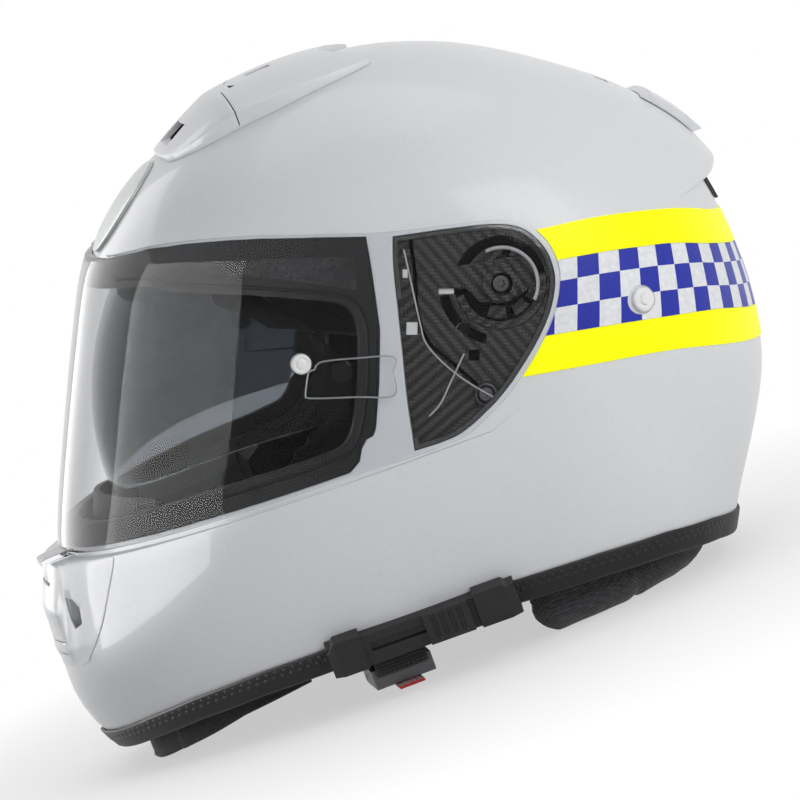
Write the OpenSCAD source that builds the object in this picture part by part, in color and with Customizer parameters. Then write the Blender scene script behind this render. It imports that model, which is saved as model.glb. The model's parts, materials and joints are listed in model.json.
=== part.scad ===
// Police motorcycle helmet with a clear visor, an inner sun visor and reflective check bands.
// Millimetres. Front faces -X, the wearer's left side is -Y, Z is up, and it stands on z = 0.

/* [Shell] */
// Half width of the shell at the visor pivots
half_w = 131; // [127:1:135]
// Wall of the shell
shell_t = 5; // [4.4:0.1:5.4]
// Height of the ledge between chin bar and visor
ledge_z = 101; // [99:0.5:102]
// How far the chin bar stands out in front of the visor line
chin_out = 11; // [7:0.5:12]
// How far the rear spoiler stands out
spoiler_out = 10; // [4:0.5:11]
// Height of the crown vent above the shell
vent_out = 8; // [5:0.5:9]
// Height of the rubber edge trim
trim_h = 11; // [8:0.5:12]

/* [Visor] */
// Thickness of the clear visor
visor_t = 2.8; // [2.2:0.1:3]
// Air gap between shell and visor
visor_gap = 0.7; // [0.6:0.1:1]
// Radius of each visor hub
hub_r = 8; // [6:0.5:9]
// Bore clearance round each hub
hub_gap = 0.35; // [0.3:0.05:0.5]
// Radius of the guide rib on each visor ear
rib_r = 16; // [14.5:0.5:18]
// Radius of the anti-fog insert pins
pin_r = 4.5; // [3.5:0.5:5]

/* [Sun visor] */
// Gap between visor and sun visor at eye level
sun_gap = 10; // [9.5:0.1:12]
// Thickness of the sun visor
sun_t = 2.2; // [1.8:0.1:2.6]
// Radius of the sun visor pivot pins
sun_pin_r = 3; // [2.5:0.25:4]
// Travel of the sun visor lever
lever_travel = 28; // [22:1:30]

/* [Lining] */
// Shell, foam and padding beside the head
side_t = 54; // [52:1:57]
// Half length of the head space
head_l = 98; // [95:1:99]
// Thickness of the crown padding
crown_t = 8; // [6:0.5:9]
// Thickness of the cheek pads
cheek_t = 17; // [13:1:20]

/* [Fittings] */
// Radius of the snap studs on the sides
stud_r = 5.5; // [4.5:0.25:6.5]
// Height of the snap studs above the tape
stud_h = 2.6; // [2:0.1:3.2]
// Radius of the forehead badge
badge_r = 22; // [18:0.5:22]
// Thickness of the reflective tape
tape_t = 0.4; // [0.3:0.05:0.5]
// Width of the chin strap
strap_w = 24; // [20:1:26]
// Thickness of the strap webbing
strap_t = 2; // [1.6:0.1:2.4]

/* [Hidden] */
$fn = 48;
cx = 56; // pivot axis of the visor
cz = 161;
sx = -5.4; // pivot axis of the sun visor
sz = 122.7;
ncurve = 2.3; // roundness of the shell from side to side
head_w = half_w - side_t; // half width of the head space
cheek_w = head_w - cheek_t;
arm_y = half_w - 30; // sun visor arms
strap_y = half_w - 36.4; // upper end of the chin strap
bore_in = half_w - 21; // depths that bores through the shell's sides run between
bore_out = half_w + 19;
nt = 48;
np = 12;
far = 220;
fit = 0.4; // gap between neighbouring formed pieces
recess = 3.3; // depth of the side recess
hx = 22; // centre of the head space
hz = 118;
// Side profile of the shell: direction from the pivot, then radius.
profile = [
  [0, 112], [12, 108], [24, 102.5], [36, 98.7], [48, 96.3], [60, 95.5], [72, 97.3], [84, 100.7],
  [96, 106.5], [106, 112], [116, 118.5], [126, 127], [136, 139], [144, 149.5], [152, 158.7],
  [160, 167], [170, 173.7], [180, 185.7], [188, 200.6], [192, 210.8], [196, 221], [200, 229.5],
  [204, 240], [208, 250.5], [214, 255.5], [222, 254], [236, 245], [252, 233.5], [270, 222.5],
  [285, 194], [298, 163], [306, 152.6], [314, 145.6], [322, 140], [332, 130.5], [344, 120.7]
];
count = len(profile);
function wrap(t) = t < 0 ? t + 360 : t >= 360 ? t - 360 : t;
function ang(i) = profile[(i + count) % count][0] + (i < 0 ? -360 : i >= count ? 360 : 0);
function val(i) = profile[(i + count) % count][1];
function hermite(u, a, b, m, n) = (2 * u * u * u - 3 * u * u + 1) * a + (u * u * u - 2 * u * u + u) * m
  + (3 * u * u - 2 * u * u * u) * b + (u * u * u - u * u) * n;
function seg(t) = max([for (i = [0:count - 1]) if (profile[i][0] <= t) i]);
function rad(t) = let (
    w = wrap(t), i = seg(w), s = ang(i + 1) - ang(i),
    m = (val(i + 1) - val(i - 1)) / (ang(i + 1) - ang(i - 1)) * s,
    n = (val(i + 2) - val(i)) / (ang(i + 2) - ang(i)) * s
  ) hermite((w - ang(i)) / s, val(i), val(i + 1), m, n);
// Half width of the shell where the side view shows x and z, at distance d outside it.
function skin_y(x, z, d = 0) = let (
    q = norm([x - cx, z - cz]), a = acos(pow(q / (rad(atan2(z - cz, x - cx)) + d), ncurve / 2))
  ) (half_w + d) * pow(sin(a), 2 / ncurve);
// The chin bar stands out and blends back into the sides.
function chin(t) = t < 150 || t > 252 ? 0 : t < 208 ? chin_out : chin_out * (252 - t) / 44;
// The spoiler rises towards the rear and ends in a sharp lip.
function spoil(t) = t < 44 && t >= 4 ? spoiler_out * (44 - t) / 40 : 0;
rads = [for (i = [0:nt - 1]) rad(i * 360 / nt)];
chins = [for (i = [0:nt - 1]) chin(i * 360 / nt)];
spoils = [for (i = [0:nt - 1]) spoil(i * 360 / nt)];
// The crown vent swells quickly from the forehead and runs out over the crown.
function swell(t) = t > 142 || t < 92 ? 0 : t > 127 ? (142 - t) / 15 : (t - 92) / 35;
swells = [for (i = [0:nt - 1]) vent_out * swell(i * 360 / nt)];

// Closed body that follows the shell at distance d outside it.
module form(d, low = 0, tail = 0, crown = 0, skip = 1) {
  e = 2 / ncurve;
  m = nt / skip;
  ring = [for (j = [1:np - 1]) for (i = [0:skip:nt - 1])
    let (
      a = -90 + 180 * j / np,
      swell = crown * swells[i] * exp(-pow(a / 34, 4)),
      r = rads[i] + d + low * chins[i] + tail * spoils[i] * exp(-pow(a / 30, 6)) + swell,
      q = r * pow(cos(a), e),
      y = (half_w + d) * sign(a) * pow(abs(sin(a)), e)
    ) [cx + q * cos(i * 360 / nt), y, cz + q * sin(i * 360 / nt)]];
  n = len(ring);
  ends = [[cx, -half_w - d, cz], [cx, half_w + d, cz]];
  walls = [for (j = [0:np - 3]) for (i = [0:m - 1])
    let (a = j * m + i, b = j * m + (i + 1) % m) each [[a, b, b + m], [a, b + m, a + m]]];
  left = [for (i = [0:m - 1]) [n, (i + 1) % m, i]];
  right = [for (i = [0:m - 1]) [n + 1, n - m + i, n - m + (i + 1) % m]];
  polyhedron(points = concat(ring, ends), faces = concat(walls, left, right));
}
module skin(outer, inner, low = 0, tail = 0, crown = 0) {
  difference() {
    form(outer, low, tail, crown);
    form(inner, low, tail, crown);
  }
}
// One freely curved solid, kept at its own size.
module formed() {
  resize([0, 0, 0]) children();
}
// Outline in the side view, drawn through the whole width or one side.
module side(y0 = -far, y1 = far) {
  translate([0, y1, 0]) rotate([90, 0, 0]) linear_extrude(y1 - y0) children();
}
module both() {
  children();
  mirror([0, 1, 0]) children();
}
// Cylinder along Y between two depths on the left side.
module stub(r, y0, y1, x = cx, z = cz) {
  translate([x, -y0, z]) rotate([90, 0, 0]) rotate([0, 0, 3.75]) cylinder(h = y1 - y0, r = r);
}
// Smooth curve through the points of an open outline.
function curve(p, k = 2) = [for (i = [0:len(p) - 2]) for (s = [0:k - 1])
  let (
    a = p[max(i - 1, 0)], b = p[i], c = p[i + 1], d = p[min(i + 2, len(p) - 1)], u = s / k
  ) hermite(u, b, c, (c - a) / 2, (d - b) / 2)];

// Line between shell and rubber trim, from chin to neck, arched over the shoulders.
edge = [[-200, 16], [-170, 20.6], [-150, 26], [-130, 29.5], [-100, 32], [-69, 32.8], [-25, 33.5],
  [18, 33.5], [59, 31.2], [90, 28], [115, 23], [135, 16], [180, 8]];
function lifted(p, z) = [for (q = p) [q.x, q.y + z]];
function turned(p) = [for (i = [1:len(p)]) p[len(p) - i]];
module below_edge(z = 0) {
  side() polygon(concat(lifted(edge, z), [[180, -90], [-200, -90]]));
}
module edge_band(top, low) {
  side() polygon(concat(lifted(edge, top), turned(lifted(edge, low))));
}
lap = 7; // depth of the shell in its trim
// Eye opening inside its rubber seal.
sight = [[-190, 118], [-147, 114], [-119, 115], [-81, 116], [-44, 116], [-30, 119], [-20, 135],
  [-13, 152], [-9, 166], [-12, 176], [-28, 184], [-52, 194], [-78, 203], [-96, 209], [-190, 214]];
module sight2d(grow = 0) {
  offset(delta = grow) polygon(concat(curve(sight), [[-190, 214]]));
}
seal_w = 6.6;
// Side recess for the visor mechanism.
pod = [[19, 196], [43, 191], [63, 185.6], [73, 180], [78.5, 171], [80, 162], [78, 152], [70, 139.5],
  [56, 126.5], [39, 114.5], [20, 106], [8, 104.5], [-4, 105]];
pod_front = [[-4, 105], [0, 126], [5.7, 149], [10, 166], [15, 185], [19, 196]];
module pod2d(grow = 0) {
  offset(delta = grow) polygon(concat(curve(pod), curve(pod_front)));
}
// Clear visor with its ears over the side recesses.
visor_low = [[-200, 106], [-153, 103.4], [-86, 103.6], [-32, 103.6], [-5, 102.6], [9, 102.6],
  [21, 104], [40, 112.5], [58, 125.5], [72, 139], [80, 152], [82.3, 162], [80.5, 172.5], [74, 182.5],
  [63.5, 188], [43, 193.2], [18, 199], [-11, 208], [-35, 215.5], [-49, 219], [-64, 222], [-79, 223.6],
  [-95, 222.6], [-102, 221], [-200, 214]];
module visor2d(grow = 0) {
  offset(delta = grow) polygon(concat(curve(visor_low), [[-200, 214]]));
}

module under_ledge(z) {
  low = cz - 2 * far;
  side() polygon([[-2 * far, z], [cx - (cz - z) * 0.14, z], [cx - 2 * far * 0.14, low], [-2 * far, low]]);
}
module shell_body(d, tail = 0) {
  form(d, 0, tail);
  intersection() {
    form(d, 1, tail);
    under_ledge(ledge_z);
  }
}
// Space inside the shell, under the ledge that carries the visor's lower edge.
module shell_inside(d, skip = 1) {
  form(-d, skip = skip);
  intersection() {
    form(-d, 1, skip = skip);
    under_ledge(ledge_z - d);
  }
}
module cutter(size, at) {
  translate([at.x - size.x / 2, at.y - size.y / 2, at.z - size.z / 2]) cube(size);
}
vent_z = 79; // chin vent slots
vent_y = 40;
top_x = [-34, -22]; // crown vent slots
plate_x = 33.5; // lower screw of the side plate
plate_z = 117;
stud_x = 113;
stud_z = 131;
module outer_shell() {
  color("white") formed() difference() {
    shell_body(0, 1);
    shell_inside(shell_t);
    below_edge(-lap);
    side() sight2d(seal_w + fit);
    both() intersection() {
      skin(9, -recess);
      side(-far, -60) pod2d(fit);
    }
    both() cutter([40, 9, 14], [-160, vent_y, vent_z]);
    both() stub(2, bore_in, bore_out, $fn = 16);
    both() stub(2.2, bore_in, bore_out, plate_x, plate_z, $fn = 16);
    both() for (x = top_x) cutter([6, 12, 60], [x, 14, 255]);
    both() cutter([5, 10, 30], [140, 16, 215]);
  }
}

// Rubber trim that clasps the lower edge all round.
module bottom_trim() {
  color("black") formed() difference() {
    intersection() {
      skin(1.8, -shell_t - 2, 1);
      edge_band(0, -trim_h);
    }
    intersection() {
      skin(0.3, -shell_t - 0.3, 1);
      edge_band(9, -lap - 0.3);
    }
  }
}

// Rubber seal round the eye opening, with a lip towards the visor.
module eyeport_seal() {
  color("black") formed() difference() {
    intersection() {
      skin(0.3, -shell_t - 2.5);
      side() sight2d(seal_w);
    }
    side() sight2d();
  }
}

// Head space: rounded above, straight sides below.
module head(grow) {
  w = head_w + grow;
  l = head_l + grow;
  translate([hx, 0, hz]) {
    scale([l, w, head_l + grow]) sphere(1, $fn = 30);
    translate([0, 0, -130]) scale([l, w, 1]) cylinder(h = 130.01, r = 1, $fn = 30);
  }
}
// Room in front of the foam and beside it that the sun visor turns up into.
module sun_slot(play) {
  inner = sun_arc(sun_r - sun_t / 2 - play, 15);
  half = concat([[far, 0]], inner, [[0, half_w], [far, half_w]]);
  translate([sx, 0, sz]) rotate([90, 0, 0]) rotate([0, 0, 72]) rotate_extrude(angle = 112, $fn = 24) {
    polygon(half);
    mirror([0, 1]) polygon(half);
  }
  both() stub(10.6, arm_y - sun_t / 2 - play, arm_y + sun_t / 2 + play, sx, sz, $fn = 24);
}
// Half section of the sun visor: flat arms beside the cheeks, curved lens in front.
sun_r = norm([rad(180) - cx + sx - sun_gap, cz - sz]);
function sun_arc(r, s) = [for (a = [0:s:90])
  [r * pow(cos(a), 2 / 2.6), (arm_y + r - sun_r) * pow(sin(a), 2 / 2.6)]];
module sun_profile(h, s = 7.5) {
  half = concat(sun_arc(sun_r + h, s), turned(sun_arc(sun_r - h, s)));
  polygon(half);
  mirror([0, 1]) polygon(half);
}
eps_line = [[-100, 221.5], [-84, 215], [-60, 206.8], [-30, 196], [-6, 183], [1, 168], [-3, 150],
  [-10, 130], [-24, 112], [-40, 106], [-62, 104], [-62, 30]];
// Crown, side and back block of expanded foam.
module eps_liner() {
  color("gray") formed() difference() {
    shell_inside(shell_t + fit, 2);
    head(crown_t + fit);
    below_edge(0.5);
    side() polygon(concat([[-220, 280]], [[-220, 225]], curve(eps_line),
      [[-62, -20], [-220, -20], [-300, 100]]));
    sun_slot(2);
    both() for (x = top_x) cutter([5, 10, 100], [x, 14, 240]);
    both() stub(sun_pin_r + 0.3, arm_y - 21, arm_y + 7.6, sx, sz, $fn = 24);
    both() stub(sun_pin_r + 2.4, arm_y - 31, arm_y - 8.6, sx, sz, $fn = 24);
    both() cutter([32, 15, 42], [strap_x, strap_y + 3.9, 48]);
    cable(0.5, $fn = 16);
  }
}
// Foam block inside the chin bar.
module chin_eps() {
  color("gray") formed() difference() {
    intersection() {
      form(-shell_t - fit, 1);
      translate([-200, -100, 0]) cube([136, 200, 92]);
    }
    form(-shell_t - 20, 1);
    below_edge(0.5);
    translate([-200, -100, 92]) cube([200, 200, 60]);
    both() cutter([60, 9, 13], [-155, vent_y, vent_z]);
    side() sight2d(seal_w + 1);
    cutter([7.5, 100, 29], [shutter_x + 1.9, 0, 80]);
  }
}
// Soft crown lining.
module crown_pad() {
  color("dimgray") formed() intersection() {
    difference() {
      head(crown_t);
      head(0);
    }
    side() polygon(concat(curve([[-66, 190], [-40, 168], [0, 150], [40, 128], [90, 112], [150, 104]]),
      [[150, 104], [150, 240], [-90, 240], [-90, 196]]));
  }
}
// Cheek pad: a crowned cushion between the liner and the cheek.
cheek_line = [[-60, 84], [-58, 60], [-52, 36], [-30, 29], [0, 29], [30, 32], [44, 44], [46, 70],
  [40, 96], [22, 108], [-4, 110], [-30, 106], [-52, 100], [-60, 84]];
module cheek_pad() {
  color("dimgray") formed() intersection() {
    head(crown_t);
    hull() {
      side(-100, 2 - head_w) polygon(curve(cheek_line));
      side(-100, -cheek_w - 4) offset(delta = -4) polygon(curve(cheek_line));
      side(-100, -cheek_w) offset(delta = -11) polygon(curve(cheek_line));
    }
  }
}
module left_cheek_pad() cheek_pad();
module right_cheek_pad() mirror([0, 1, 0]) cheek_pad();

// Padded roll round the back of the neck, flat where it carries the helmet.
roll_r = 13;
roll_x = 34;
roll_y = half_w - 53.2;
module neck_roll() {
  color("dimgray") formed() intersection() {
    union() {
      translate([roll_x, 0, 13]) scale([1, roll_y / 72, 1]) rotate([0, 0, -90])
        rotate_extrude(angle = 180, $fn = 28) translate([72, 0]) scale([0.9, 1.05]) circle(roll_r, $fn = 12);
      both() translate([roll_x, roll_y, 13]) scale([0.9, 0.97, 1.05]) sphere(roll_r, $fn = 12);
    }
    translate([-100, -150, 0]) cube([300, 300, 60]);
  }
}
// Soft curtain that closes the space under the chin and carries the front of the helmet.
curtain_t = 4;
curtain_w = half_w - 47;
curtain_line = [for (q = [[-151.5, 0], [-149, 15], [-141, 30], [-125, 52], [-100, 71], [-76, 83.5]])
  [q.x, q.y * curtain_w / 84]];
module curtain_plan() {
  line = curve(curtain_line);
  polygon(concat(line, [[0, curtain_w]], [[0, -curtain_w]], turned([for (q = line) [q.x, -q.y]])));
}
module chin_curtain() {
  color("black") formed() intersection() {
    translate([0, 0, -1]) linear_extrude(40) difference() {
      curtain_plan();
      offset(delta = -curtain_t) curtain_plan();
    }
    side() polygon([[-170, 0], [-148, 0], [-134, 5], [-110, 12.5], [-79, 18.6], [-79, 24],
      [-110, 22.6], [-130, 20.8], [-145, 19.8], [-170, 19]]);
  }
}
// Soft guard that keeps breath off the visor.
module breath_deflector() {
  color("black") formed() intersection() {
    skin(-shell_t - 21, -shell_t - 24, 1);
    side() polygon([[-160, 70], [-98, 70], [-92, 92], [-104, 108], [-122, 119], [-160, 119]]);
  }
}

// Arc round the visor pivot, between two radii and two depths.
module arc_rib(r0, r1, y0, y1, start, sweep) {
  translate([cx, -y0, cz]) rotate([90, 0, 0]) rotate([0, 0, start]) rotate_extrude(angle = sweep)
    translate([r0, 0]) square([r1 - r0, y1 - y0]);
}
// Clear visor: one curved pane with ears, guide ribs, a lift tab and bores for the hubs.
pin_x = -38;
pin_z = 157.6;
module visor() {
  color("lightblue", 0.3) difference() {
    formed() union() {
      intersection() {
        skin(visor_gap + visor_t, visor_gap);
        side() visor2d();
      }
      intersection() {
        form(12);
        difference() {
          translate([-175, -2, 101.9]) cube([20, 34, 3.2]);
          form(visor_gap + 0.4);
        }
        side() polygon([[-180, 101.9], [-150, 101.9], [-150, 106], [-180, 106]]);
      }
    }
    both() stub(hub_r + hub_gap, bore_in, bore_out);
    both() stub(pin_r + 0.3, bore_in - 10, bore_out, pin_x, pin_z);
  }
  color("lightblue", 0.3) both() arc_rib(rib_r - 0.8, rib_r + 0.8, half_w - 1.9, half_w + 1, -46, 142);
}
// Pins that hold the anti-fog insert, one each side.
module visor_pins() {
  y0 = skin_y(pin_x, pin_z, visor_gap) - 0.6;
  y1 = skin_y(pin_x, pin_z, visor_gap + visor_t) + 1.8;
  color("white") both() stub(pin_r, y0, y1, pin_x, pin_z);
}

// Side plate with its hub for the visor.
module base_plate() {
  color("darkslategray") difference() {
    formed() intersection() {
      skin(-0.4, -recess + 0.2);
      side(-far, -60) pod2d();
    }
    stub(hub_r - 2, bore_in, bore_out);
    arc_rib(rib_r - 1.2, rib_r + 1.2, half_w - 2.3, half_w + 2, 0, 360);
    stub(2.2, bore_in, bore_out, plate_x, plate_z);
    stub(3.6, half_w - 3.9, bore_out, plate_x, plate_z);
  }
}
module left_base_plate() base_plate();
module right_base_plate() mirror([0, 1, 0]) base_plate();
module hub() {
  difference() {
    union() {
      stub(hub_r, half_w - 0.2, half_w + visor_gap + visor_t + 0.6);
      stub(hub_r - 2.3, half_w - recess + 0.2, half_w);
    }
    stub(4.6, half_w, half_w + 9);
    stub(2, half_w - 9, half_w + 9);
  }
}
module left_visor_hub() {
  color("black") hub();
}
module right_visor_hub() {
  color("black") mirror([0, 1, 0]) hub();
}

// Smoked sun visor with an arm to each pivot.
module sun_visor() {
  color("slategray", 0.6) difference() {
    union() {
      translate([sx, 0, sz]) rotate([90, 0, 0]) rotate([0, 0, 124]) rotate_extrude(angle = 56)
        sun_profile(sun_t / 2);
      both() stub(9, arm_y - sun_t / 2, arm_y + sun_t / 2, sx, sz);
    }
    both() stub(sun_pin_r + 0.3, arm_y - 11, arm_y + 11, sx, sz);
  }
}
// Pins that carry the sun visor, held in the liner.
module sun_visor_pins() {
  color("silver") both() {
    stub(sun_pin_r, arm_y - 9, arm_y + 7, sx, sz);
    stub(sun_pin_r + 2, arm_y - 12, arm_y - 9, sx, sz);
  }
}

// Everything of the sun visor lever lies along its straight track on the left edge.
module on_track() {
  translate([-26, 20.4 - half_w, 29]) rotate([0, 0, -7.2]) rotate([18, 0, 0]) children();
}
track_l = 88;
track_h = 17;
slot_h = 4.4;
knob_w = 21;
knob_x = 11.5;
module block(x0, x1, v0, v1, z0, z1) {
  translate([x0, -v1, z0]) cube([x1 - x0, v1 - v0, z1 - z0]);
}
module lever_track() {
  color("black") formed() difference() {
    on_track() difference() {
      union() {
        block(-track_l / 2, track_l / 2, -6, 4.6, -track_h / 2, track_h / 2 - 2);
        hull() {
          block(-track_l / 2 + 4, -28, -2, 6.4, -track_h / 2, track_h / 2);
          block(-track_l / 2, -30, -2, 4.6, -track_h / 2, track_h / 2 - 5);
        }
        hull() {
          block(25, track_l / 2 - 5, -2, 6.4, -track_h / 2, track_h / 2);
          block(26, track_l / 2, -2, 4.6, -track_h / 2, track_h / 2 - 5);
        }
      }
      block(knob_x - knob_w / 2 - lever_travel, 24.5, 4, 9, -30, 30);
      block(knob_x - 8 - lever_travel, knob_x + 8, 1.4, 9, -slot_h / 2, slot_h / 2);
    }
    form(0.4, 1);
    intersection() {
      form(2.2, 1);
      edge_band(0.3, -30);
    }
  }
}
module lever_slider() {
  color("black") on_track() {
    difference() {
      block(knob_x - knob_w / 2, knob_x + knob_w / 2, 4.4, 7.2, -7.6, 7.4);
      for (x = [-6:4:6]) block(knob_x + x - 0.9, knob_x + x + 0.9, 6.4, 8, -6, 5.8);
    }
    block(knob_x - 4, knob_x + 4, 1.9, 4.4, -slot_h / 2 + 0.3, slot_h / 2 - 0.3);
  }
}
// Sheathed cable from the lever track to the sun visor pivot, bedded in the liner.
cable_r = 1.5;
cable_x = -22;
cable_y = 35 - half_w;
module cable(grow = 0) {
  translate([cable_x, cable_y, 36]) cylinder(h = 66, r = cable_r + grow);
  translate([cable_x, cable_y, 102]) sphere(cable_r + grow);
  translate([cable_x, cable_y, 102]) rotate([0, 40, 0]) cylinder(h = 14, r = cable_r + grow);
}
module sun_visor_cable() {
  color("black") cable();
}

// Crown vent: a shell-coloured hood with its slider and grille.
vent_plan = [[-57, 0], [-55, 28], [-46, 41], [-34, 48], [-9, 55], [8, 56.5], [28, 54], [41, 47],
  [43, 40], [36, 30], [29, 15], [27, 0]];
module plan(z0, z1) {
  translate([0, 0, z0]) linear_extrude(z1 - z0) children();
}
module plan_outline(p) {
  polygon(concat(curve(p), turned([for (q = curve(p)) [q.x, -q.y]])));
}
slide_x = [-18, 14];
pocket_z = cz + 99.6 + vent_out;
module top_vent_cover() {
  color("white") formed() difference() {
    intersection() {
      form(1.4, 0, 0, 1);
      plan(200, 290) plan_outline(vent_plan);
    }
    form(0.4);
    intersection() {
      form(-1, 0, 0, 1);
      plan(200, 290) offset(delta = -2.4) plan_outline(vent_plan);
    }
    cutter([30, 44, 12], [-54, 0, 261]);
    cutter([32, 30.8, 8], [-2, 0, pocket_z + 4]);
    cutter([12, 9, 20], [-2, 0, pocket_z]);
  }
}
module top_vent_slider() {
  color("white") difference() {
    union() {
      translate([-17.4, -15, pocket_z + 0.35]) cube([20, 30, 2.2]);
      translate([-7.5, -4, pocket_z - 1.3]) cube([3.5, 8, 2]);
    }
    translate([-17, -6, pocket_z + 1.4]) cube([9, 12, 5]);
  }
}
module top_vent_grille() {
  color("black") formed() difference() {
    intersection() {
      form(-1.6, 0, 0, 1);
      translate([-44, -20, 240]) cube([2, 40, 40]);
    }
    form(0.7);
    intersection() {
      form(-2.6, 0, 0, 1);
      for (y = [-16.2:5.4:16.2]) translate([-60, y - 1.9, 258.5]) cube([40, 3.8, 60]);
    }
  }
}

// Chin vent: raised front panel, sliding shutter behind it and a dust mesh.
panel = [[0, 53.5], [38, 55.5], [47, 60], [54, 66], [60, 73.5], [65, 83], [70.5, 95], [72, 100.5]];
module front(x0, x1) {
  translate([x0, 0, 0]) rotate([90, 0, 90]) linear_extrude(x1 - x0) children();
}
module panel2d(grow = 0) {
  offset(delta = grow) polygon(concat(panel, turned([for (q = panel) [-q.x, q.y]])));
}
module chin_vent_cover() {
  color("white") formed() difference() {
    intersection() {
      skin(2.6, 0.4, 1);
      front(-200, -120) panel2d();
      translate([-200, -100, 0]) cube([100, 200, ledge_z + 0.6]);
    }
    both() cutter([60, 9, 14], [-160, vent_y, vent_z]);
    cutter([60, 34, 3], [-170, 0, 92.5]);
  }
}
shutter_x = -151.2;
module chin_vent_shutter() {
  color("black") formed() difference() {
    union() {
      both() cutter([1.6, 13, 18], [shutter_x, vent_y, vent_z - 3]);
      cutter([1.6, 2 * vent_y, 4], [shutter_x, 0, vent_z - 2]);
    }
    both() for (z = [-8, 4]) cutter([9, 7, 3], [shutter_x, vent_y, vent_z + z]);
  }
}
module chin_vent_mesh() {
  color("gray") both() difference() {
    cutter([0.8, 11, 16], [shutter_x + 4.2, vent_y, vent_z]);
    for (y = [-3:2:3]) for (z = [-6:2.4:6]) cutter([5, 1.2, 1.6], [shutter_x + 4.2, vent_y + y, vent_z + z]);
  }
}

// Rear outlet blade over the shell's slots, and the outlet insert under the spoiler lip.
module rear_exhaust_cover() {
  color("white") formed() difference() {
    intersection() {
      skin(4.2, 0.4, 0, 1);
      translate([140, -27, 182]) cube([60, 54, 23]);
    }
    intersection() {
      form(2.6, 0, 1);
      translate([130, -24, 170]) cube([80, 48, 31]);
    }
  }
}
module rear_exhaust_insert() {
  color("black") formed() intersection() {
    skin(2, 0.3);
    translate([150, -22, 150]) cube([60, 44, 11]);
  }
}

// Reflective bands: yellow above and below a band of checks.
band_1 = [[72, 179.5], [75, 178], [104, 173], [129, 166], [148, 158.5], [165, 149], [190, 136]];
band_2 = [[60, 165], [80, 162.2], [105, 157], [123, 152], [139, 146.5], [168, 132], [190, 121]];
band_3 = [[50, 136], [66, 132.5], [98, 125.5], [125, 118.5], [147, 111.5], [165, 103], [190, 91]];
band_4 = [[40, 121], [51, 118.8], [81, 113], [121, 104], [161, 89.5], [190, 79]];
module tape(top, low) {
  formed() difference() {
    intersection() {
      skin(0.15 + tape_t, 0.15, 0, 1);
      side() polygon(concat(top, turned(low)));
    }
    side() pod2d(1.6);
    side() visor2d(0.8);
    both() stub(stud_r + 1, bore_in - 50, bore_out, stud_x, stud_z, $fn = 24);
    both() stub(29, bore_in, bore_out);
  }
}
module upper_yellow_tape() {
  color("yellow") tape(lifted(band_1, 0), lifted(band_2, 0.2));
}
module check_band() {
  color("silver") tape(lifted(band_2, -0.2), lifted(band_3, 0.2));
}
module lower_yellow_tape() {
  color("yellow") tape(lifted(band_3, -0.2), lifted(band_4, 0));
}
// Snap studs for a cover or cape, one each side.
stud_yaw = 27;
module snap_studs() {
  color("white") both() translate([stud_x + 0.3, 0.1 - skin_y(stud_x + 0.3, stud_z), stud_z])
    rotate([0, 0, stud_yaw]) rotate([92, 0, 0]) {
      cylinder(h = stud_h, r = stud_r);
      translate([0, 0, stud_h]) cylinder(h = 1.2, r = stud_r * 0.4);
    }
}
module forehead_badge() {
  color("lightgray") formed() intersection() {
    skin(2, 0.3);
    translate([cx, 0, cz]) rotate([0, -60.5, 0]) cylinder(h = far, r = badge_r, $fn = 36);
  }
}

// Screws through the side plates: hub screws and lower screws.
module plate_screws() {
  color("silver") both() {
    stub(1.7, half_w - 5, half_w + 0.3, cx, cz);
    stub(3.6, half_w + 0.3, half_w + 1.9, cx, cz);
    stub(1.9, half_w - 6.5, half_w - 3.6, plate_x, plate_z);
    stub(3.2, half_w - 3.6, half_w - 2.4, plate_x, plate_z);
  }
}

// Webbing in the front view: a strip of even thickness along a line.
strap_x = -39;
function unit(v) = v / norm(v);
function across(p, i) = let (v = unit(p[min(i + 1, len(p) - 1)] - p[max(i - 1, 0)])) [-v.y, v.x];
module webbing(p, w) {
  q = curve(p);
  n = len(q);
  translate([strap_x - w / 2, 0, 0]) front(0, w) polygon(concat(
    [for (i = [0:n - 1]) q[i] + across(q, i) * strap_t / 2],
    turned([for (i = [0:n - 1]) q[i] - across(q, i) * strap_t / 2])));
}
module strap_rivets(r, y0, y1) {
  for (x = [-7, 7]) stub(r, y0, y1, strap_x + x, 54);
}
module left_strap() {
  color("black") difference() {
    webbing([for (q = [[0, 61], [0, 38], [1.3, 24], [3.8, 14], [6.6, 10.4]]) [q.x - strap_y, q.y]], strap_w);
    strap_rivets(2.9, strap_y - 5, strap_y + 5);
  }
}
module right_strap() {
  color("black") difference() {
    webbing(concat([for (q = [[0, 61], [0, 38], [-1.3, 24], [-6.6, 12.5], [-22.6, 7]]) [q.x + strap_y, q.y]],
      [[30, 5.4], [buckle_y + 77, 7], [buckle_y + 53, 9.1]]), strap_w);
    mirror([0, 1, 0]) strap_rivets(2.9, strap_y - 5, strap_y + 5);
  }
}
module strap_hangers() {
  color("silver") both() {
    translate([strap_x - 13, -strap_y - 3, 44]) cube([26, 1.6, 20]);
    strap_rivets(2.6, strap_y - 1.8, strap_y + 1.8);
  }
}
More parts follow.
